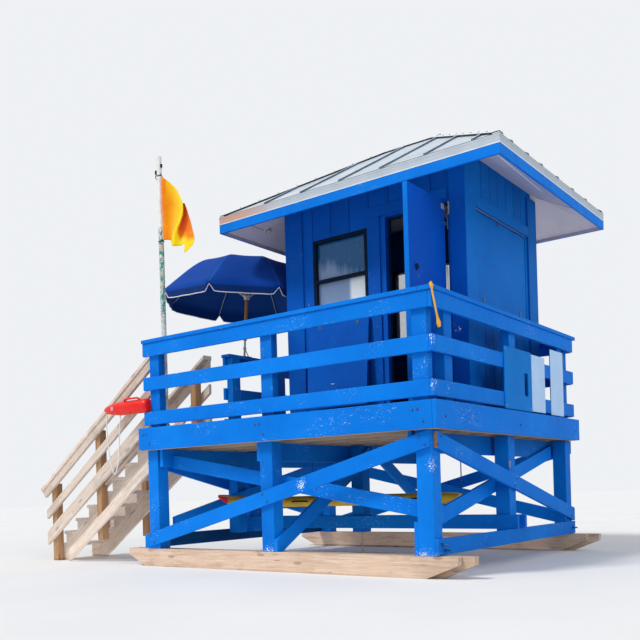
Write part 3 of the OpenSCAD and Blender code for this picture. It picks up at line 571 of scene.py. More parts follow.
def bar(bm, a, b, wide, high, mi=0, side_mi=None):
    """A bar whose lower middle line runs from a to b; wide and high span its section."""
    a, b, wide, high = Vector(a), Vector(b), Vector(wide), Vector(high)
    corners = ((-0.5, 0), (0.5, 0), (0.5, 1), (-0.5, 1))
    vs = [bm.verts.new(p + wide * i + high * k) for p in (a, b) for i, k in corners]
    quads = ((0, 1, 2, 3), (7, 6, 5, 4), (0, 4, 5, 1), (1, 5, 6, 2), (2, 6, 7, 3), (3, 7, 4, 0))
    faces = [bm.faces.new([vs[i] for i in q]) for q in quads]
    for k, f in enumerate(faces):
        f.material_index = mi if k == 4 or side_mi is None else side_mi
    bmesh.ops.recalc_face_normals(bm, faces=faces)


def box_bm(bm, lo, hi, mi=0):
    """A box between two corners."""
    y = (lo[1] + hi[1]) / 2
    bar(bm, (lo[0], y, lo[2]), (hi[0], y, lo[2]), (0, hi[1] - lo[1], 0), (0, 0, hi[2] - lo[2]), mi)


def circle(at, r, n, u, v):
    """n points on a circle round a point, in the plane of u and v."""
    turns = [2 * math.pi * k / n for k in range(n)]
    return [at + (u * math.cos(w) + v * math.sin(w)) * r for w in turns]


def lathe(bm, at, axis, profile, n=16, mi=0):
    """A turned form: profile is (radius, height along the axis)."""
    at, axis = Vector(at), Vector(axis).normalized()
    a = axis.orthogonal().normalized()
    b = axis.cross(a)
    rings = [[bm.verts.new(p) for p in circle(at + axis * h, r, n if r else 1, a, b)] for r, h in profile]
    faces = []
    for p, q in zip(rings, rings[1:]):
        for i in range(n):
            j = (i + 1) % n
            vs = [p[i % len(p)], p[j % len(p)], q[j % len(q)], q[i % len(q)]]
            vs = [v for k, v in enumerate(vs) if v not in vs[:k]]
            if len(vs) > 2:
                faces.append(bm.faces.new(vs))
    for f in faces:
        f.material_index = mi
    bmesh.ops.recalc_face_normals(bm, faces=faces)


def tube(bm, pts, r, n=8, closed=False):
    """A round tube along points."""
    pts = [Vector(p) for p in pts]
    m = len(pts)
    rings = []
    side = None
    for i, p in enumerate(pts):
        a = pts[(i - 1) % m] if closed or i else p
        b = pts[(i + 1) % m] if closed or i < m - 1 else p
        t = (b - a).normalized()
        side = (side - t * side.dot(t)).normalized() if side else t.orthogonal().normalized()
        rings.append([bm.verts.new(q) for q in circle(p, r, n, side, t.cross(side))])
    pairs = zip(rings, rings[1:] + rings[:1]) if closed else zip(rings, rings[1:])
    faces = [bm.faces.new((p[k - 1], p[k], q[k], q[k - 1])) for p, q in pairs for k in range(n)]
    if not closed:
        faces += [bm.faces.new(rings[0][::-1]), bm.faces.new(rings[-1])]
    bmesh.ops.recalc_face_normals(bm, faces=faces)


def spline(pts, n):
    """n points on a smooth curve through pts, with even steps of the parameter."""
    pts = [Vector(p) for p in pts]
    p = [pts[0] * 2 - pts[1]] + pts + [pts[-1] * 2 - pts[-2]]
    out = []
    for k in range(n):
        x = k * (len(pts) - 1) / (n - 1)
        i = min(int(x), len(pts) - 2)
        t = x - i
        a, b, c, d = p[i:i + 4]
        square = (2 * a - 5 * b + 4 * c - d) * t * t
        out.append(0.5 * (2 * b + (c - a) * t + square + (3 * b - a - 3 * c + d) * t ** 3))
    return out


DOME = ((1.0, 0), (0.95, 0.22), (0.6, 0.5), (0, 0.58))
WASHER = ((1.5, 0), (1.5, 0.12), (1.0, 0.14), (1.0, 0.75), (0.8, 0.9), (0, 0.9))


def heads(name, places, r, mat, profile=DOME):
    """Screw or bolt heads at (point, normal)."""
    bm = bmesh.new()
    for at, axis in places:
        lathe(bm, Vector(at) - Vector(axis) * r * 0.05, axis, [(a * r, b * r) for a, b in profile], 10)
    finish_mesh(name, bm, [mat], smooth=40)


# The rope on the rescue can comes before the rest
ROPE_R = 0.006
ROPE_WAY_MM = ((34, -4, -38), (42, -20, -200), (62, -22, -400), (96, -22, -590), (150, -22, -720),
               (205, -22, -655), (240, -22, -480), (256, -20, -280), (262, -4, -78))


def rope():
    """One rope from the can's nose eye down in a long loop and back up to its rear eye."""
    pts = spline([CAN_NOSE + Vector(p) / 1000 for p in ROPE_WAY_MM], 33)
    cu = bpy.data.curves.new("can_rope_line", "CURVE")
    cu.dimensions = "3D"
    cu.bevel_depth = ROPE_R
    cu.bevel_resolution = 3
    s = cu.splines.new("POLY")
    s.points.add(len(pts) - 1)
    for q, p in zip(s.points, pts):
        q.co = (*p, 1)
    cu.materials.append(ROPE)
    o = bpy.data.objects.new("can_rope_line", cu)
    SC.collection.objects.link(o)
    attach(o, "tower")
    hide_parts("can_rope")


rope()


# Boards straight from the frame
def boards():
    """Every node that is made of plain boards, with its materials."""
    blue = [BLUE, BLUE_X]
    rail = [BLUE_L, BLUE_X]
    rows = (("skids", [SKID_T], "bare_timber", 0.008),
            ("legs", blue, "blue_paint", 0.005),
            ("girders", blue, "blue_paint", 0.003),
            ("joists", [BARE], "bare_timber", 0.002),
            ("fascia", rail, "blue_paint", 0.005),
            ("rail_posts", blue, "blue_paint", 0.004),
            ("rails", rail, "blue_paint", 0.006),
            ("rail_caps", rail, "blue_paint", 0.006),
            ("window_frames", [DARK], "dark_frame", 0.002),
            ("side_frames", [DARK], "dark_frame", 0.002),
            # The front and left shutters take the wall paint's painted-shade copy, the right shutter its
            # painted-light copy.
            ("shutter_front", [BLUE_D], "blue_paint", 0.003),
            ("shutter_right", [BLUE_WALL_LIT], "blue_paint", 0.003),
            ("shutter_left", [BLUE_D], "blue_paint", 0.003),
            ("door_frame", [DARK], "dark_frame", 0.002),
            ("drip_band", [DRIP], "roof_metal", 0.0015),
            ("soffit", [SOFF], "soffit_ply", 0),
            ("stair_stringers", [RAIL_T], "bare_timber", 0.004),
            ("stair_treads", [RAIL_T], "bare_timber", 0.005),
            ("stair_posts", [POST_T], "bare_timber", 0.005),
            ("stair_rails", [RAIL_T], "bare_timber", 0.004),
            ("side_panel", [PLY], "plywood", 0.002),
            ("signs", [SIGN], "sign_board", 0.0015),
            ("board_slings", [BOLT], "hardware", 0.001))
    for k, (node, mats, slot, bevel) in enumerate(rows):
        dress(node, mats, bevel, k, wear=1 if len(mats) > 1 else None)


def two_tone_boards():
    """Painted boards with painted light and shade chosen by the side that a face looks to, and the bare
    brace ends.
    """
    for k, node in enumerate(("corner_boards", "cabin_trim")):
        # Faces that look to the right take the lit copy of the wall paint as painted light, the rest the
        # shaded copy.
        dress(node, [BLUE_D, BLUE_WALL_LIT], seed=30 + k, pick=lambda f: f.normal.x > 0.9)
    # The door's front edge takes the lighter rail paint as a painted highlight, the rest the door paint's
    # painted shade.
    dress("door_leaf", [BLUE_DOOR_SHADE, BLUE_L], seed=91, pick=lambda f: f.normal.y < -0.9)
    # The ties' inner faces take the dark paint as painted shade.
    dress("ties", [BLUE, BLUE_TIE_SHADE, BLUE_X], 0.004, 92, wear=2,
          pick=lambda f: f.normal.x > 0.5 and f.calc_center_median().x < 1.5)
    # The eave boards' inner faces and lower left and rear edges take the soffit colour with painted shade.
    dress("eave_fascia", [BLUE_L, SOFF_EDGE_SHADE], 0.002, 93, pick=soffit_side)
    dress("braces", [BLUE_L, END_T, BLUE_X], 0.004, 90, wear=2,
          ends=lambda f: f.normal.y < -0.5 and f.calc_center_median().x > 1.7)


def soffit_side(f):
    """True for the faces that get painted shade: the inner faces of the eave boards, and their lower edges
    at the left and rear.
    """
    c = f.calc_center_median()
    if f.normal.z < -0.9:
        return c.x < RX0 + 0.05 or c.y > RY1 - 0.05
    mid = Vector(((RX0 + RX1) / 2, (RY0 + RY1) / 2, 0))
    return abs(f.normal.z) < 0.1 and f.normal.dot(mid - c) > 0.2


def kept_nodes():
    """CAD nodes whose shape is right get only their material, or keep their shape with a grain."""
    kept = {"leaf_hinges": BOLT, "fixed_hinges": BOLT, "shutter_front_hinges": BOLT,
            "shutter_right_hinges": BOLT, "umbrella_mount": STEEL, "roof_sheet": ROOF, "roof_caps": CAP}
    for node, mat in kept.items():
        mats = NODES[node].data.materials
        mats.clear()
        mats.append(mat)
    # Front panes take the tinted glass with painted reflection, the side panes the clear glass.
    dress("window_glass", [GLASS, GLASS_CLEAR], 0, 95,
          pick=lambda f: f.calc_center_median().y > CY0 + 0.1)
    dress("umbrella_pole", [POLE], 0, 70)


def deck():
    """Deck boards in the depth direction with narrow gaps."""
    n, half_gap = 24, 0.003
    bm = bmesh.new()
    lo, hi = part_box("deck")
    pitch = (hi[0] - lo[0]) / n
    for i in range(n):
        a = lo[0] + i * pitch + (half_gap if i else 0)
        b = lo[0] + (i + 1) * pitch - (half_gap if i < n - 1 else 0)
        box_bm(bm, (a, lo[1], lo[2]), (b, hi[1], hi[2]))
    board_data(bm, 3)
    soften(bm, 0.003)
    finish_mesh("deck_boards", bm, [DECK_T], replaces=("deck",))


# Cabin walls
FRONT_GROOVES = [CX0 + 0.108 + 0.2435 * k for k in range(9)]
SIDE_GROOVES = (-0.277, -0.075, 0.126, 0.322, 0.518, 0.709, 0.907, 1.105)
GROOVE_DEEP = 0.008
GROOVE_HALF = 0.0045


def siding(node, axis, face, out, grooves, paint=None):
    """A wall with grooves between the planks of its outer side, and inside paint darkened as painted shade.
    """
    across = 1 - axis
    close = 1e-4
    bm = node_mesh(node)
    us = sorted({round(v.co[across], 4) for v in bm.verts})
    zs = sorted({round(v.co.z, 4) for v in bm.verts})
    for f in bm.faces:
        f.material_index = 1 if f.normal[axis] * out < -0.5 else 0
    for v in bm.verts:
        if abs(v.co[axis] - face) < 1e-3:
            v.co[axis] -= out * GROOVE_DEEP
    hole = (us[1], us[2], zs[1], zs[2]) if len(us) == 4 else None
    inner = [g for g in grooves if us[0] + 0.03 < g < us[-1] - 0.03]
    cuts = [us[0] - GROOVE_HALF] + inner + [us[-1] + GROOVE_HALF]
    for a, b in zip(cuts, cuts[1:]):
        a, b = a + GROOVE_HALF, b - GROOVE_HALF
        marks = sorted({a, b} | ({h for h in hole[:2] if a < h < b} if hole else set()))
        for p, q in zip(marks, marks[1:]):
            cut = hole and hole[0] - close <= p and q <= hole[1] + close
            for z0, z1 in ((zs[0], hole[2]), (hole[3], zs[-1])) if cut else ((zs[0], zs[-1]),):
                lo, hi = [0, 0, z0], [0, 0, z1]
                lo[across], hi[across] = p, q
                lo[axis], hi[axis] = sorted((face, face - out * GROOVE_DEEP))
                box_bm(bm, lo, hi)
    board_data(bm, 1, lambda part: sum(1 for c in cuts if c < lowest(part)[across] + 0.02))
    # The outer faces take the given paint, else the wall paint's painted-shade copy; the inner faces the
    # painted shade inside.
    finish_mesh(node + "_siding", bm, [paint or BLUE_D, BLUE_INSIDE_SHADE], replaces=(node,))


def walls():
    for node in ("front_wall", "front_wall_strip", "front_wall_over_door"):
        siding(node, 1, CY0, -1, FRONT_GROOVES)
    siding("rear_wall", 1, CY1, 1, FRONT_GROOVES)
    siding("left_wall", 0, CX0, -1, SIDE_GROOVES)
    # The right wall takes the lit copy of the wall paint as painted light.
    siding("right_wall", 0, CX1, 1, SIDE_GROOVES, BLUE_WALL_LIT)


# Roof
HIPS = [(x, y, sx, sy) for x, sx in ((RX0, 1), (RX1, -1)) for y, sy in ((RY0, 1), (RY1, -1))]


def eave_line(side, c, s):
    """A point on the sheet's top at place c along a side's eave and s in from it."""
    z = SHEET_Z + s * SLOPE
    if side in ("front", "rear"):
        return c, RY0 + s if side == "front" else RY1 - s, z
    return RX0 + s if side == "left" else RX1 - s, c, z


def ribs():
    """Standing ribs from the eaves up to the hips and the ridge."""
    rib_w, rib_h = 0.026, 0.02
    along_x = [-1.02 + 0.48 * k for k in range(7)]
    along_y = (-0.698, -0.339, 0.0, 0.419, 0.847, 1.248, 1.646)
    rows = (("front", RX0, RX1, along_x, (rib_w, 0, 0)), ("rear", RX0, RX1, along_x, (rib_w, 0, 0)),
            ("left", RY0, RY1, along_y, (0, rib_w, 0)), ("right", RY0, RY1, along_y, (0, rib_w, 0)))
    bm = bmesh.new()
    for side, first, last, places, wide in rows:
        for c in places:
            top = min(c - first - 0.09, last - c - 0.09, HALF - 0.1)
            if top > 0.12:
                # Rib sides take the dark grey of painted shade, the tops the roof metal.
                bar(bm, eave_line(side, c, 0.004), eave_line(side, c, top), wide, UP * rib_h, 0, 1)
    finish_mesh("roof_ribs", bm, [ROOF, ROOF_SIDE_SHADE])


def hip_covers():
    """Raised folded covers over the hips and the ridge, with a dark strip of painted shadow under each edge.
    """
    hip_w, ridge_w, lift, ridge_lift, sheet, edge = 0.078, 0.095, 0.019, 0.017, 0.003, 0.008
    bm = bmesh.new()
    run = HALF - ridge_w
    for x, y, sx, sy in HIPS:
        a = Vector((x, y, SHEET_Z))
        b = a + Vector((sx * run, sy * run, run * SLOPE))
        for u in (Vector((sx * hip_w, 0, 0)), Vector((0, sy * hip_w, 0))):
            bar(bm, a + u / 2 + UP * lift, b + u / 2 + UP * lift, u, UP * sheet, 0)
            bar(bm, a + u * 0.92, b + u * 0.92, u.normalized() * edge, UP * lift, 1)
    top = SHEET_Z + HALF * SLOPE
    mid = (RY0 + RY1) / 2
    for s in (-1, 1):
        for out, up, wide, high, mi in ((0.5, ridge_lift, (0, s * ridge_w, -ridge_w * SLOPE), sheet, 0),
                                        (0.95, 0, (0, edge, 0), ridge_lift, 1)):
            y, z = mid + s * ridge_w * out, top - ridge_w * out * SLOPE + up
            bar(bm, (RX0 + run, y, z), (RX1 - run, y, z), wide, UP * high, mi)
    finish_mesh("hip_covers", bm, [CAP, SHADOW_LINE])


def eave_trim():
    """Grey edge of the roof sheet, a bright folded hem under the pale band and a dark line of painted shade
    over it.
    """
    thick = 0.006
    rows = ((3.7745, 0.0215, 0.001), (3.7145, 0.0095, 0.003), (3.7962, 0.0026, 0.0015))
    bm = bmesh.new()
    for mi, (z, h, out) in enumerate(rows):
        x0, x1, y0, y1 = RX0 - out, RX1 + out, RY0 - out, RY1 + out
        t = out + thick
        for lo, hi in (((x0, y0), (x1, y0 + t)), ((x0, y1 - t), (x1, y1)),
                       ((x0, y0 + t), (x0 + t, y1 - t)), ((x1 - t, y0 + t), (x1, y1 - t))):
            box_bm(bm, (*lo, z), (*hi, z + h), mi)
    finish_mesh("eave_trim", bm, [DRIP, CAP, SHADOW_LINE])


def cap_screws():
    places = []
    for x, y, sx, sy in HIPS:
        for k in range(1, 9):
            s = 0.15 * k
            at = Vector((x + sx * s, y + sy * s, SHEET_Z + s * SLOPE + 0.0222))
            places.append((at + Vector((sx * 0.035, 0, 0)), (0, -sy * 0.5, 0.87)))
            places.append((at + Vector((0, sy * 0.035, 0)), (-sx * 0.5, 0, 0.87)))
    # The screw heads take the same dark grey of painted shade.
    heads("cap_screws", places, 0.01, ROOF_SIDE_SHADE)


def soffit_joints():
    """Cover strips with nails on the rear and left soffit, and open joints on the other sides."""
    bm = bmesh.new()
    nails = []
    strip_w, deep, joint_deep, under = 0.006, 0.0025, 0.0022, 0.0005
    for side, c, wide in (("rear", -0.25, (strip_w, 0, 0)), ("rear", 0.95, (strip_w, 0, 0)),
                          ("left", 0.87, (0, strip_w, 0))):
        ends = [Vector(eave_line(side, c, s)) - UP * (SHEET_Z - SOFFIT_Z + under) for s in (0.03, 0.52)]
        bar(bm, *ends, wide, UP * -deep)
        for k in range(5):
            at = ends[0].lerp(ends[1], (k + 0.5) / 5)
            off = Vector(wide).normalized() * 0.02
            nails += [(at + off, (0, 0, -1)), (at - off, (0, 0, -1))]
    for a, b, wide in (((RX0 + 0.19, -0.79), (RX0 + 0.19, -0.46), (0.004, 0, 0)),
                       ((1.56, 1.22), (2.07, 1.05), (0, 0.005, 0))):
        ends = [(x, y, SOFFIT_Z - under + min(x - RX0, RX1 - x) * SLOPE) for x, y in (a, b)]
        bar(bm, *ends, wide, UP * -joint_deep)
    finish_mesh("soffit_joints", bm, [DARK])
    heads("soffit_nails", nails, 0.005, SOFF_NAIL)


def lamp():
    """Small round light on the left soffit."""
    rim = ((0.044, -0.004), (0.044, 0.01), (0.039, 0.014), (0.03, 0.014))
    ring = ((0.03, 0.01), (0.03, 0.016), (0.027, 0.02), (0.025, 0.014))
    glow = ((0.024, 0.006), (0.024, 0.028), (0.019, 0.036), (0.01, 0.041), (0, 0.042))
    at = (-0.989, -0.401, SOFFIT_Z + 0.207 * SLOPE)
    bm = bmesh.new()
    for profile, mi in ((rim, 0), (ring, 1), (glow, 0)):
        lathe(bm, at, (SLOPE, 0, -1), profile, 24, mi)
    finish_mesh("soffit_lamp", bm, [PLASTIC, DARK], smooth=35)



# Fixings
def rail_screws():
    """Two screws where each railing board crosses a post."""
    rail_x, rail_y = 1.78, 1.66
    rows = [((x, y), (0, y / rail_y, 0), (1, 0, 0)) for x in FRONT_POST_X for y in (-rail_y, rail_y)]
    rows += [((rail_x, y), (1, 0, 0), (0, 1, 0)) for y in RIGHT_POST_Y]
    rows += [((-rail_x, y), (-1, 0, 0), (0, 1, 0)) for y in LEFT_POST_Y]
    places = []
    for z in RAIL_MID_Z:
        for at, normal, along in rows:
            for k in (-1, 1):
                places.append((Vector((*at, z)) + (Vector(along) * 0.032 + UP * 0.036) * k, normal))
    heads("rail_screws", places, 0.006, BOLT)


def leg_bolts():
    """Bolts through the edge boards and the braces into the legs, and long bolts at the right feet."""
    places = []
    for y in LEG_Y:
        places += [((s * X1, y, 1.35), (s, 0, 0)) for s in (1, -1)]
        z = 1.162 - (y + 1.562) * 0.2336
        for k in (-1, 1):
            for x, s in ((1.746, 1), (-1.808, -1)):
                places.append(((x, y + 0.03 * k, z + 0.035 * k), (s, 0, 0)))
    for x in LEG_X:
        for dx, z in ((-0.05, 1.411), (0, 1.415), (0.05, 1.312)):
            places += [((x + dx, s * Y1, z), (0, s, 0)) for s in (-1, 1)]
        z = 0.267 + (x + X1) * 0.2584
        for k in (-1, 1):
            for y, s in ((-1.638, -1), (1.688, 1)):
                places.append(((x + 0.03 * k, y, z - 0.035 * k), (0, s, 0)))
    heads("leg_bolts", places, 0.0095, BOLT, WASHER)
    nut = [(0.018, 0), (0.018, 0.003), (0.014, 0.004), (0.014, 0.016), (0, 0.016)]
    bm = bmesh.new()
    for y, z in ((-1.53, 0.285), (-1.485, 0.235), (1.56, 0.262)):
        tube(bm, [(1.744, y, z), (1.8, y, z)], 0.008, 10)
        lathe(bm, (1.7461, y, z), (1, 0, 0), nut, 6)
    finish_mesh("foot_bolts", bm, [BOLT], smooth=40)


def stair_screws():
    """Two screws at each end of every tread."""
    treads, run, rise = 9, 0.226, 0.157
    places = [((-1.979 - run * i + dx, y, 1.457 - rise * i), (0, 0, 1))
              for i in range(treads) for y in (-1.413, -0.87) for dx in (0.06, 0.16)]
    heads("tread_screws", places, 0.006, STEEL)


def sign_screws():
    """Screws in the corners of the two signs and the panel."""
    places = []
    for x, y0, z0, w, h, in_y, in_z in ((1.786, 0.385, 1.507, 0.36, 0.58, 0.02, 0.02),
                                        (1.786, 0.91, 1.502, 0.37, 0.7, 0.02, 0.02),
                                        (1.792, -0.255, 1.53, 0.6, 0.54, 0, 0)):
        for y in (y0 + in_y, y0 + w - in_y):
            places += [((x, y, z), (1, 0, 0)) for z in (z0 + in_z, z0 + h - in_z)]
    heads("sign_screws", places, 0.006, STEEL)


# Door, shutter and wall hardware
LEAF_FACE = 1.3105


def door_knob():
    """A turned knob on its round rose."""
    rose = [(0, 0), (0.03, 0), (0.03, 0.004), (0.026, 0.006), (0.012, 0.008), (0.011, 0.03), (0.016, 0.036),
            (0.025, 0.041), (0.0275, 0.048), (0.025, 0.055), (0.015, 0.0595), (0, 0.06)]
    bm = bmesh.new()
    lathe(bm, (1.311, -1.132, 2.497), (1, 0, 0), rose, 28)
    finish_mesh("door_knob_turned", bm, [STEEL], "door", ("door_knob",), smooth=35)


def door_ring():
    """A pull ring on a small round plate."""
    at = Vector((LEAF_FACE, -1.067, 2.778))
    bm = bmesh.new()
    lathe(bm, at, (1, 0, 0), [(0.016, 0), (0.016, 0.004), (0.008, 0.007), (0, 0.007)], 20)
    tube(bm, circle(at + Vector((0.0095, 0, 0)), 0.024, 18, Vector((0, 1, 0)), UP), 0.0045, 8, True)
    finish_mesh("door_ring", bm, [DARK], "door", smooth=40)


def shutter_bolt():
    """A barrel bolt with its keepers and a bent handle, tilted with the hanging shutter."""
    at = Vector((0, -0.5545, 1.926))
    handle = [(-0.035, -0.006, -0.011), (-0.03, -0.02, -0.041), (0.005, -0.02, -0.044),
              (0.012, -0.006, -0.011)]
    bm = bmesh.new()
    box_bm(bm, (-0.085, 0, -0.018), (0.02, 0.004, 0.014))
    tube(bm, [(-0.08, -0.009, 0), (0.06, -0.009, 0)], 0.006, 10)
    for x in (-0.07, -0.02, 0.035):
        bar(bm, (x, 0, 0), (x + 0.012, 0, 0), (0, 0, 0.022), (0, -0.017, 0))
    tube(bm, spline(handle, 14), 0.004, 8)
    tilt = Matrix.Translation(at) @ Matrix.Rotation(math.radians(-6), 4, "X")
    bmesh.ops.transform(bm, matrix=tilt, verts=bm.verts)
    finish_mesh("shutter_bolt", bm, [STEEL], "front_shutter", smooth=35)


def shutter_latch():
    """A small plate and hook at the top of the right shutter."""
    hook = [(1.503, 0.282, 3.44), (1.514, 0.282, 3.445), (1.516, 0.284, 3.42), (1.508, 0.286, 3.405)]
    bm = bmesh.new()
    box_bm(bm, (1.4995, 0.262, 3.415), (1.503, 0.302, 3.45))
    tube(bm, spline(hook, 10), 0.004, 8)
    finish_mesh("shutter_latch", bm, [BOLT], "right_shutter", smooth=35)


def door_stop_plate():
    """A rubbed plate with a rod on the front wall beside the door's hinges."""
    bm = bmesh.new()
    box_bm(bm, (1.336, -0.4585, 3.405), (1.392, -0.4525, 3.52))
    box_bm(bm, (1.345, -0.464, 3.43), (1.378, -0.4584, 3.495))
    tube(bm, [(1.34, -0.463, 3.4), (1.34, -0.463, 3.525)], 0.007, 10)
    soften(bm, 0.001)
    finish_mesh("door_stop_plate", bm, [STEEL])


def trim_box(name, lo, hi, mat, bevel=0.001, body="tower", seed=None):
    """A strip or plate with softened edges, and with board data if it has a seed."""
    bm = bmesh.new()
    box_bm(bm, lo, hi)
    if seed:
        board_data(bm, seed)
    soften(bm, bevel)
    finish_mesh(name, bm, [mat], body)


def hardware():
    door_knob()
    door_ring()
    shutter_bolt()
    shutter_latch()
    # Under the header over the right shutter: a strip of painted shadow and bare worn wood.
    trim_box("header_wear_and_shadow_strip", (1.5042, -0.225, 3.4795), (1.512, 0.995, 3.4885), WORN_SHADOW_STRIP, 0.002,
             seed=8)
    door_stop_plate()
    trim_box("upper_hinge_leaf", (LEAF_FACE, -0.56, 3.44), (LEAF_FACE + 0.004, -0.5, 3.49), STEEL,
             body="door")
    # A white strip on the jamb beside the door: painted light, for bright light seen through the gap.
    trim_box("jamb_light_strip", (1.26, -0.3945, 1.52), (1.282, -0.3893, 2.925), PLASTIC,
             seed=9)


def strap():
    """Webbing strap screwed over the corner of the railing and to the corner post."""
    n = 40
    way = spline([(1.76, -1.645, 2.433), (1.785, -1.672, 2.4345), (1.7985, -1.688, 2.426),
                  (1.799, -1.686, 2.395), (1.798, -1.668, 2.34), (1.797, -1.64, 2.27),
                  (1.796, -1.606, 2.19), (1.795, -1.578, 2.125), (1.794, -1.562, 2.09)], n)
    lumps = ((12, 2.2, 1.0), (35, 3.0, 1.2), (39, 1.0, 0.4))
    bm = bmesh.new()
    rows = []
    for i, p in enumerate(way):
        t = (way[min(i + 1, n - 1)] - way[max(i - 1, 0)]).normalized()
        flat = Vector((1, 0, 0)) if i > 6 else UP
        lump = sum(high * math.exp(-((i - at) / wide) ** 2) for at, wide, high in lumps)
        side = t.cross(flat).normalized() * (0.013 + 0.006 * lump)
        up = side.cross(t).normalized() * (0.0015 + 0.007 * lump)
        corners = ((-side, -up), (side, -up), (side, up), (-side, up))
        rows.append([bm.verts.new(p + a + b) for a, b in corners])
    for a, b in zip(rows, rows[1:]):
        for k in range(4):
            bm.faces.new((a[k], a[(k + 1) % 4], b[(k + 1) % 4], b[k]))
    bm.faces.new(rows[0][::-1])
    bm.faces.new(rows[-1])
    bmesh.ops.recalc_face_normals(bm, faces=bm.faces)
    board_data(bm, 4)
    finish_mesh("corner_strap", bm, [STRAP])
    heads("strap_screws", [((1.768, -1.652, 2.4345), (0, 0, 1))], 0.009, STEEL, WASHER)


# Umbrella
GORE = math.pi / 4
GORE_COLS = 14
TURN = math.radians(17.8)
CAN_R = 1.02
TOP_ROWS = 22
EDGE_ROWS = 5
EDGE_DROP = 0.118
PROFILE = [(0.0, 0.0), (0.12, -0.008), (0.25, -0.025), (0.39, -0.052), (0.53, -0.092), (0.64, -0.16),
           (0.75, -0.255), (0.87, -0.372), (1.0, -0.5)]


def canopy_point(row, turn, top):
    """A point of the canopy at a row and an angle; top is the profile, and the last rows the edge."""
    g = turn / GORE - math.floor(turn / GORE)
    mid = 1 - (2 * abs(g - 0.5)) ** 2
    at = top[min(row, TOP_ROWS - 1)]
    share, z = at.x, at.z
    r = share * CAN_R * math.cos(GORE / 2) / math.cos((g - 0.5) * GORE)
    z -= 0.007 * mid * math.sin(math.pi * min(share, 1) * 0.92)
    if row >= TOP_ROWS:
        down = (row - TOP_ROWS + 1) / EDGE_ROWS
        notch = math.exp(-((1 - 2 * abs(g - 0.5)) / 0.085) ** 2)
        far_rib = round(turn / GORE) % 8 == 4
        z -= EDGE_DROP * down * (1 - (0.12 if far_rib else 0.7) * notch)
        r += 0.006 * math.sin(g * 6 * math.pi) * down * mid - 0.004 * down
    a = turn + TURN
    return LEAN @ Vector((r * math.cos(a), r * math.sin(a), UM_LEN + z - 0.001))


def grid_mesh(rows, closed, uv_step, light_and_shade_of):
    """A sheet through rows of points, with UVs in metres and a value of painted light and shade for each
    point.
    """
    bm = bmesh.new()
    uv = bm.loops.layers.uv.new("board")
    light_and_shade = bm.verts.layers.float.new("light_and_shade")
    vs = [[bm.verts.new(p) for p in row] for row in rows]
    for i, row in enumerate(vs):
        for j, v in enumerate(row):
            v[light_and_shade] = light_and_shade_of(i, j)
    n = len(vs[0])
    for i in range(len(vs) - 1):
        for j in range(n if closed else n - 1):
            k = (j + 1) % n
            f = bm.faces.new((vs[i][j], vs[i + 1][j], vs[i + 1][k], vs[i][k]))
            for lp, (p, q) in zip(f.loops, ((i, j), (i + 1, j), (i + 1, j + 1), (i, j + 1))):
                lp[uv].uv = (q * uv_step[0], p * uv_step[1])
    return bm, vs


def cloth(name, bm, mats, node):
    """A thin sheet; a second material is its underside."""
    o = finish_mesh(name, bm, mats, replaces=(node,))
    o.data.shade_smooth()
    sol = o.modifiers.new("cloth", "SOLIDIFY")
    sol.thickness = 0.0012
    sol.offset = 0
    if len(mats) > 1:
        sol.material_offset = 1
        sol.material_offset_rim = 0
    return o


def canopy_light_and_shade(i, j):
    """Painted shade on the hanging edge, painted highlight on the seams."""
    if i > TOP_ROWS:
        return 0.0
    return 1.0 if j % GORE_COLS == 0 else 0.5


def canopy():
    """One continuous canopy of eight gores with a hanging edge cut away at the ribs."""
    top = spline([(x, 0, z) for x, z in PROFILE], TOP_ROWS)
    top[0].x = 0.012
    turns = [GORE * j / GORE_COLS for j in range(8 * GORE_COLS)]
    rows = [[canopy_point(i, turn, top) for turn in turns] for i in range(TOP_ROWS + EDGE_ROWS)]
    bm, points = grid_mesh(rows, True, (0.057, 0.055), canopy_light_and_shade)
    bm.faces.new(points[0])
    bmesh.ops.recalc_face_normals(bm, faces=bm.faces)
    area = sum(f.calc_area() for f in bm.faces)
    # The underside gets the darker cloth as painted shade.
    sheet = cloth("umbrella_cloth", bm, [CANOPY, CANOPY_UNDER_SHADE], "umbrella_canopy")
    bm = bmesh.new()
    tube(bm, rows[-1], 0.0055, 8, True)
    board_data(bm)
    piping = finish_mesh("umbrella_piping", bm, [PIPING], smooth=60)
    umbrella_frame(top)


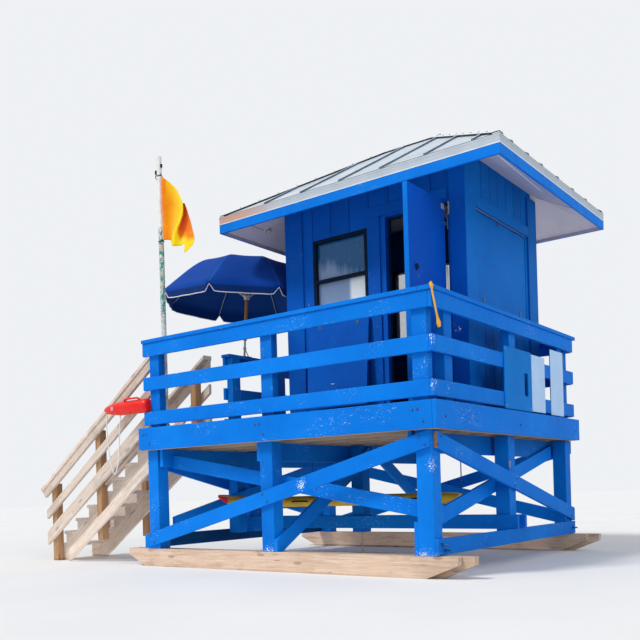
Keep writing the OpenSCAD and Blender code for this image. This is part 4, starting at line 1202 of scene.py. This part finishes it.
def umbrella_frame(top):
    """Thin steel ribs under the seams, stretchers to a runner on the pole, a hub and a top button."""
    socket = [(0, -0.01), (0.01, -0.006), (0.01, 0.04), (0.005, 0.05)]
    runner = [(0.0215, 0), (0.034, 0.004), (0.034, 0.03), (0.042, 0.034), (0.042, 0.05), (0.0215, 0.054)]
    hub = [(0.0215, 0), (0.036, 0.004), (0.036, 0.03), (0.0, 0.034)]
    button = [(0.03, 0), (0.03, 0.004), (0.018, 0.012), (0.0, 0.014)]
    turned = LEAN.to_3x3()
    bm = bmesh.new()
    for k in range(8):
        a = k * GORE + TURN
        out = Vector((math.cos(a), math.sin(a), 0))
        way = [LEAN @ (out * p.x * CAN_R * 0.995 + UP * (UM_LEN + p.z - 0.016)) for p in top[2:]]
        tube(bm, way, 0.004, 6)
        joint = out * 0.53 * CAN_R + UP * (UM_LEN - 0.113)
        low = out * 0.035 + UP * 0.735
        tube(bm, [LEAN @ low, LEAN @ joint], 0.005, 6)
        lathe(bm, LEAN @ joint, turned @ (low - joint), socket, 8, 1)
    lathe(bm, LEAN @ (UP * 0.7), turned @ UP, runner, 20, 1)
    lathe(bm, LEAN @ (UP * 1.14), turned @ UP, hub, 20, 1)
    finish_mesh("umbrella_ribs", bm, [STEEL, PLASTIC], smooth=50)
    bm = bmesh.new()
    lathe(bm, LEAN @ (UP * (UM_LEN - 0.0005)), turned @ UP, button, 20)
    # The top button takes the canopy cloth; with no values of light and shade it shows the cloth's painted
    # shade colour.
    finish_mesh("umbrella_button", bm, [CANOPY], smooth=40)


# Flag: columns of points from the pole outwards, each from the top down, in mm from the pole's foot
FLAG_MM = (
    ((0, 0, 2716), (0, 0, 2575), (0, 0, 2435),
     (0, 0, 2295), (0, 0, 2155), (0, 0, 2014)),
    ((60, -22, 2672), (56, -30, 2550), (52, -28, 2410),
     (52, -22, 2275), (52, -16, 2140), (56, -10, 2010)),
    ((157, 14, 2580), (150, 22, 2490), (138, 20, 2360),
     (124, 16, 2235), (114, 14, 2112), (112, 10, 1998)),
    ((283, -30, 2462), (343, -38, 2350), (347, -40, 2235),
     (300, -40, 2143), (228, -36, 2054), (174, -30, 1918)),
    ((270, 12, 2370), (305, 18, 2310), (292, 22, 2230),
     (262, 22, 2135), (240, 18, 2030), (250, 14, 1915)),
    ((330, 4, 2345), (360, 8, 2285), (368, 12, 2210),
     (362, 12, 2105), (342, 8, 2005), (321, 0, 1915)),
    ((352, -4, 2330), (385, -4, 2250), (402, 2, 2165),
     (405, 0, 2055), (392, -10, 1945), (342, -18, 1819)),
    ((368, -10, 2295), (405, -12, 2212), (437, -12, 2130),
     (466, -14, 2030), (487, -12, 1929), (450, -10, 1871)))
# Painted light and shade for each column: highest at the sunlit fold, lowest on the shaded back.
FLAG_LIGHT_AND_SHADE = (0.45, 0.5, 0.6, 1.0, 0.0, 0.1, 0.3, 0.45)
FLAG_ROWS = 31
FLAG_STEPS = 57
FLAG_AT = POLE_AT + Vector((0.0272, 0, 0))


def flag_light_and_shade(i, j):
    """The painted light and shade at a point: by column, with painted light low down on the back fold and
    high up near the fold.
    """
    x = j * 7 / (FLAG_STEPS - 1)
    k = min(int(x), 6)
    t = FLAG_LIGHT_AND_SHADE[k] + (FLAG_LIGHT_AND_SHADE[k + 1] - FLAG_LIGHT_AND_SHADE[k]) * (x - k)
    down = i / (FLAG_ROWS - 1)
    if j > 22:
        t += 0.9 * max(0, down - 0.7) / 0.2
    if 10 < j < 26:
        t += 0.25 * max(0, 0.35 - down) / 0.35
    return t


def flag():
    """A limp flag in two folds, hung from two clips."""
    cols = [spline([Vector(p) / 1000 for p in c], FLAG_ROWS) for c in FLAG_MM]
    rows = [[FLAG_AT + p for p in spline([c[i] for c in cols], FLAG_STEPS)] for i in range(FLAG_ROWS)]
    bm = grid_mesh(rows, False, (0.016, 0.023), flag_light_and_shade)[0]
    sheet = cloth("flag_cloth", bm, [FLAG], "flag")
    bm = bmesh.new()
    tube(bm, [FLAG_AT + Vector((0.001, 0, z)) for z in (2.01, 2.365, 2.72)], 0.004, 8)
    board_data(bm)
    hoist = finish_mesh("flag_hoist_rope", bm, [PIPING], smooth=60)


def flagpole():
    """The round pole with its foot, two clips, a pulley with a hook and a catch."""
    foot = [(0.0, 0), (0.06, 0), (0.06, 0.008), (0.036, 0.012), (0.034, 0.04), (0.0272, 0.044)]
    pole = [(0.027, 0), (0.027, 2.915), (0.024, 2.926), (0.014, 2.93), (0, 2.93)]
    clip = ((0.027, 0, 0), (0.034, -0.012, 0.014), (0.03, -0.02, 0))
    hook = ((-0.045, 0, 2.753), (-0.062, 0, 2.728), (-0.055, 0, 2.703), (-0.04, 0, 2.693), (-0.03, 0, 2.673))
    bm = bmesh.new()
    for z in (2.01, 2.716):
        at = POLE_AT + UP * z
        tube(bm, circle(at, 0.03, 16, Vector((1, 0, 0)), Vector((0, 1, 0))), 0.004, 6, True)
        tube(bm, [at + Vector(p) for p in clip], 0.004, 6)
    tube(bm, spline([POLE_AT + Vector(p) for p in hook], 12), 0.004, 6)
    for x0, x1, half, z0, z1 in ((-0.062, -0.026, 0.008, 2.748, 2.788), (0.022, 0.04, 0.01, 2.803, 2.838)):
        box_bm(bm, POLE_AT + Vector((x0, -half, z0)), POLE_AT + Vector((x1, half, z1)))
    finish_mesh("flagpole_fittings", bm, [DARK], smooth=40)
    bm = bmesh.new()
    lathe(bm, POLE_AT, UP, foot, 24)
    finish_mesh("flagpole_foot", bm, [STEEL], smooth=35)
    bm = bmesh.new()
    lathe(bm, POLE_AT, UP, pole, 32)
    finish_mesh("flagpole_round", bm, [WHITE], replaces=("flagpole",), smooth=35)


# Rescue can and board
def rescue_can():
    """Moulded rescue can with a long nose, hand grips, end rims and eyes for the rope."""
    profile = [(0, 0), (0.012, 0.001), (0.021, 0.006), (0.031, 0.022), (0.043, 0.056), (0.053, 0.1),
               (0.063, 0.16), (0.071, 0.22), (0.0748, 0.27), (0.076, 0.31), (0.0745, 0.315),
               (0.0745, 0.321), (0.076, 0.326), (0.076, 0.66), (0.0745, 0.665), (0.0745, 0.671),
               (0.076, 0.676), (0.075, 0.7), (0.069, 0.722), (0.06, 0.733), (0.045, 0.735),
               (0.04, 0.728), (0, 0.728)]
    grip = ((0.37, 0.07), (0.385, 0.092), (0.41, 0.1), (0.5, 0.101), (0.59, 0.1), (0.615, 0.092),
            (0.63, 0.07))
    eye = [(0.012, -0.004), (0.012, 0.003), (0.007, 0.004), (0.007, 0.001)]
    valve = [(0.021, -0.006), (0.021, 0.004), (0.013, 0.006), (0.011, 0.003), (0, 0.003)]
    bm = bmesh.new()
    lathe(bm, CAN_NOSE, (1, 0, 0), profile, 48)
    for w in (0, math.radians(120)):
        way = [CAN_NOSE + Vector((x, r * math.cos(w), r * math.sin(w))) for x, r in grip]
        tube(bm, spline(way, 22), 0.011, 10)
    finish_mesh("rescue_can_moulded", bm, [CAN], replaces=("rescue_can",), smooth=50)
    bm = bmesh.new()
    for x, z in ((0.034, -0.04), (0.262, -0.0745)):
        lathe(bm, CAN_NOSE + Vector((x, -0.004, z)), (0, 0, -1), eye, 14)
    lathe(bm, CAN_NOSE + Vector((0.2, -0.0675, 0)), (0, -1, 0), valve, 20)
    finish_mesh("can_eyes", bm, [STEEL], smooth=35)


# The board's outline: place along it, half width, underside and top, in mm
BOARD_MM = ((-1600, 55, 712, 748), (-1585, 85, 704, 749), (-1540, 130, 688, 746), (-1440, 175, 638, 734),
            (-1270, 222, 602, 722), (-1000, 238, 592, 710), (-700, 243.5, 591, 709), (-300, 243.5, 591, 709),
            (200, 243.5, 591, 709), (700, 243.5, 591, 709), (960, 214, 591, 709), (1100, 192, 594, 706),
            (1170, 178, 606, 698), (1200, 160, 622, 686))
BOARD_TURN = Matrix.Translation((0, -0.322, 0)) @ Matrix.Rotation(math.radians(14.6), 4, "Z")


def rescue_board():
    """Yellow rescue board with rounded rails and a raised red nose."""
    n, stations, red = 20, 53, 13
    width = spline([(x / 1000, half / 1000, 0) for x, half, low, high in BOARD_MM], stations)
    depth = spline([(x / 1000, low / 1000, high / 1000) for x, half, low, high in BOARD_MM], stations)
    bm = bmesh.new()
    rings = []
    for p, q in zip(width, depth):
        ring = []
        for k in range(n):
            c, s = math.cos(2 * math.pi * k / n), math.sin(2 * math.pi * k / n)
            y = math.copysign(abs(c) ** 0.55, c) * p.y
            z = (q.y + q.z) / 2 + math.copysign(abs(s) ** 0.8, s) * (q.z - q.y) / 2
            ring.append(bm.verts.new(BOARD_TURN @ Vector((p.x, y, z))))
        rings.append(ring)
    for i, (a, b) in enumerate(zip(rings, rings[1:])):
        for k in range(n):
            f = bm.faces.new((a[k], a[(k + 1) % n], b[(k + 1) % n], b[k]))
            f.material_index = 1 if i < red else 0
    bm.faces.new(rings[0][::-1]).material_index = 1
    bm.faces.new(rings[-1])
    bmesh.ops.recalc_face_normals(bm, faces=bm.faces)
    finish_mesh("rescue_board_shell", bm, [FOAM, CAN], replaces=("rescue_board",),
                smooth=50)


def board_grips():
    """Grab loops along both rails of the rescue board."""
    loop = ((-0.09, 0.236, 0.65), (-0.075, 0.25, 0.654), (0, 0.254, 0.656), (0.075, 0.25, 0.654),
            (0.09, 0.236, 0.65))
    bm = bmesh.new()
    for x in (-0.5, 0.2, 0.8):
        for s in (-1, 1):
            way = [BOARD_TURN @ Vector((x + dx, s * y, z)) for dx, y, z in loop]
            tube(bm, spline(way, 14), 0.008, 8)
    finish_mesh("board_grips", bm, [DARK], smooth=50)


boards()
two_tone_boards()
deck()
walls()
ribs()
hip_covers()
eave_trim()
cap_screws()
soffit_joints()
lamp()
rail_screws()
leg_bolts()
stair_screws()
hardware()
strap()
sign_screws()
kept_nodes()
flagpole()
rescue_can()
rescue_board()
board_grips()
canopy()
flag()


# Stage and light
def stage():
    t = Tree("floor")
    c = t.mix(t.step(t.noise(t.place(), 0.7, 4), 0.3, 0.7), (0.76, 0.76, 0.76), (0.8, 0.8, 0.8))
    t.set(Base_Color=c, Roughness=0.95)
    bm = bmesh.new()
    box_bm(bm, (-60, -60, -0.2), (60, 60, 0))
    me = bpy.data.meshes.new("floor")
    bm.to_mesh(me)
    bm.free()
    me.materials.append(t.m)
    o = bpy.data.objects.new("floor", me)
    SC.collection.objects.link(o)


def background(nodes, color, strength):
    node = nodes.new("ShaderNodeBackground")
    node.inputs[0].default_value = (*color, 1)
    node.inputs[1].default_value = strength
    return node.outputs[0]


def world():
    """Soft light from all round, and a pale backdrop for the camera, gloss and glass."""
    SC.world = bpy.data.worlds.new("studio")
    SC.world.use_nodes = True
    nodes, links = SC.world.node_tree.nodes, SC.world.node_tree.links
    nodes.clear()
    out = nodes.new("ShaderNodeOutputWorld")
    mix = nodes.new("ShaderNodeMixShader")
    path = nodes.new("ShaderNodeLightPath")
    last = path.outputs["Is Camera Ray"]
    for ray in ("Is Glossy Ray", "Is Transmission Ray"):
        top = nodes.new("ShaderNodeMath")
        top.operation = "MAXIMUM"
        links.new(last, top.inputs[0])
        links.new(path.outputs[ray], top.inputs[1])
        last = top.outputs[0]
    links.new(last, mix.inputs[0])
    links.new(background(nodes, (0.94, 0.97, 1.0), 0.52), mix.inputs[1])
    links.new(background(nodes, (0.86, 0.88, 0.91), 1.0), mix.inputs[2])
    links.new(mix.outputs[0], out.inputs[0])


def sun(name, direction, strength, angle, color):
    d = bpy.data.lights.new(name, "SUN")
    d.energy = strength
    d.angle = math.radians(angle)
    d.color = color
    o = bpy.data.objects.new(name, d)
    o.rotation_mode = "QUATERNION"
    o.rotation_quaternion = Vector(direction).to_track_quat("-Z", "Y")
    SC.collection.objects.link(o)


def sand_bounce():
    """A wide soft lamp at floor level that stands for the light thrown up by bright sand."""
    d = bpy.data.lights.new("sand_bounce", "AREA")
    d.shape = "RECTANGLE"
    d.size = 9
    d.size_y = 9
    d.energy = 140
    d.color = (1.0, 0.97, 0.92)
    o = bpy.data.objects.new("sand_bounce", d)
    o.location = (-3.0, -0.5, 0.012)
    o.rotation_euler = (math.pi, 0, 0)
    o.visible_camera = False
    o.visible_glossy = False
    o.visible_transmission = False
    SC.collection.objects.link(o)


stage()
world()
sun("key", (0.3, 0.6, -0.8), 2.1, 12, (1, 0.985, 0.96))
sun("fill", (-0.9, 0.35, -0.5), 0.85, 40, (0.95, 0.97, 1))
sand_bounce()
SC.view_settings.view_transform = "Standard"

bpy.context.view_layer.update()
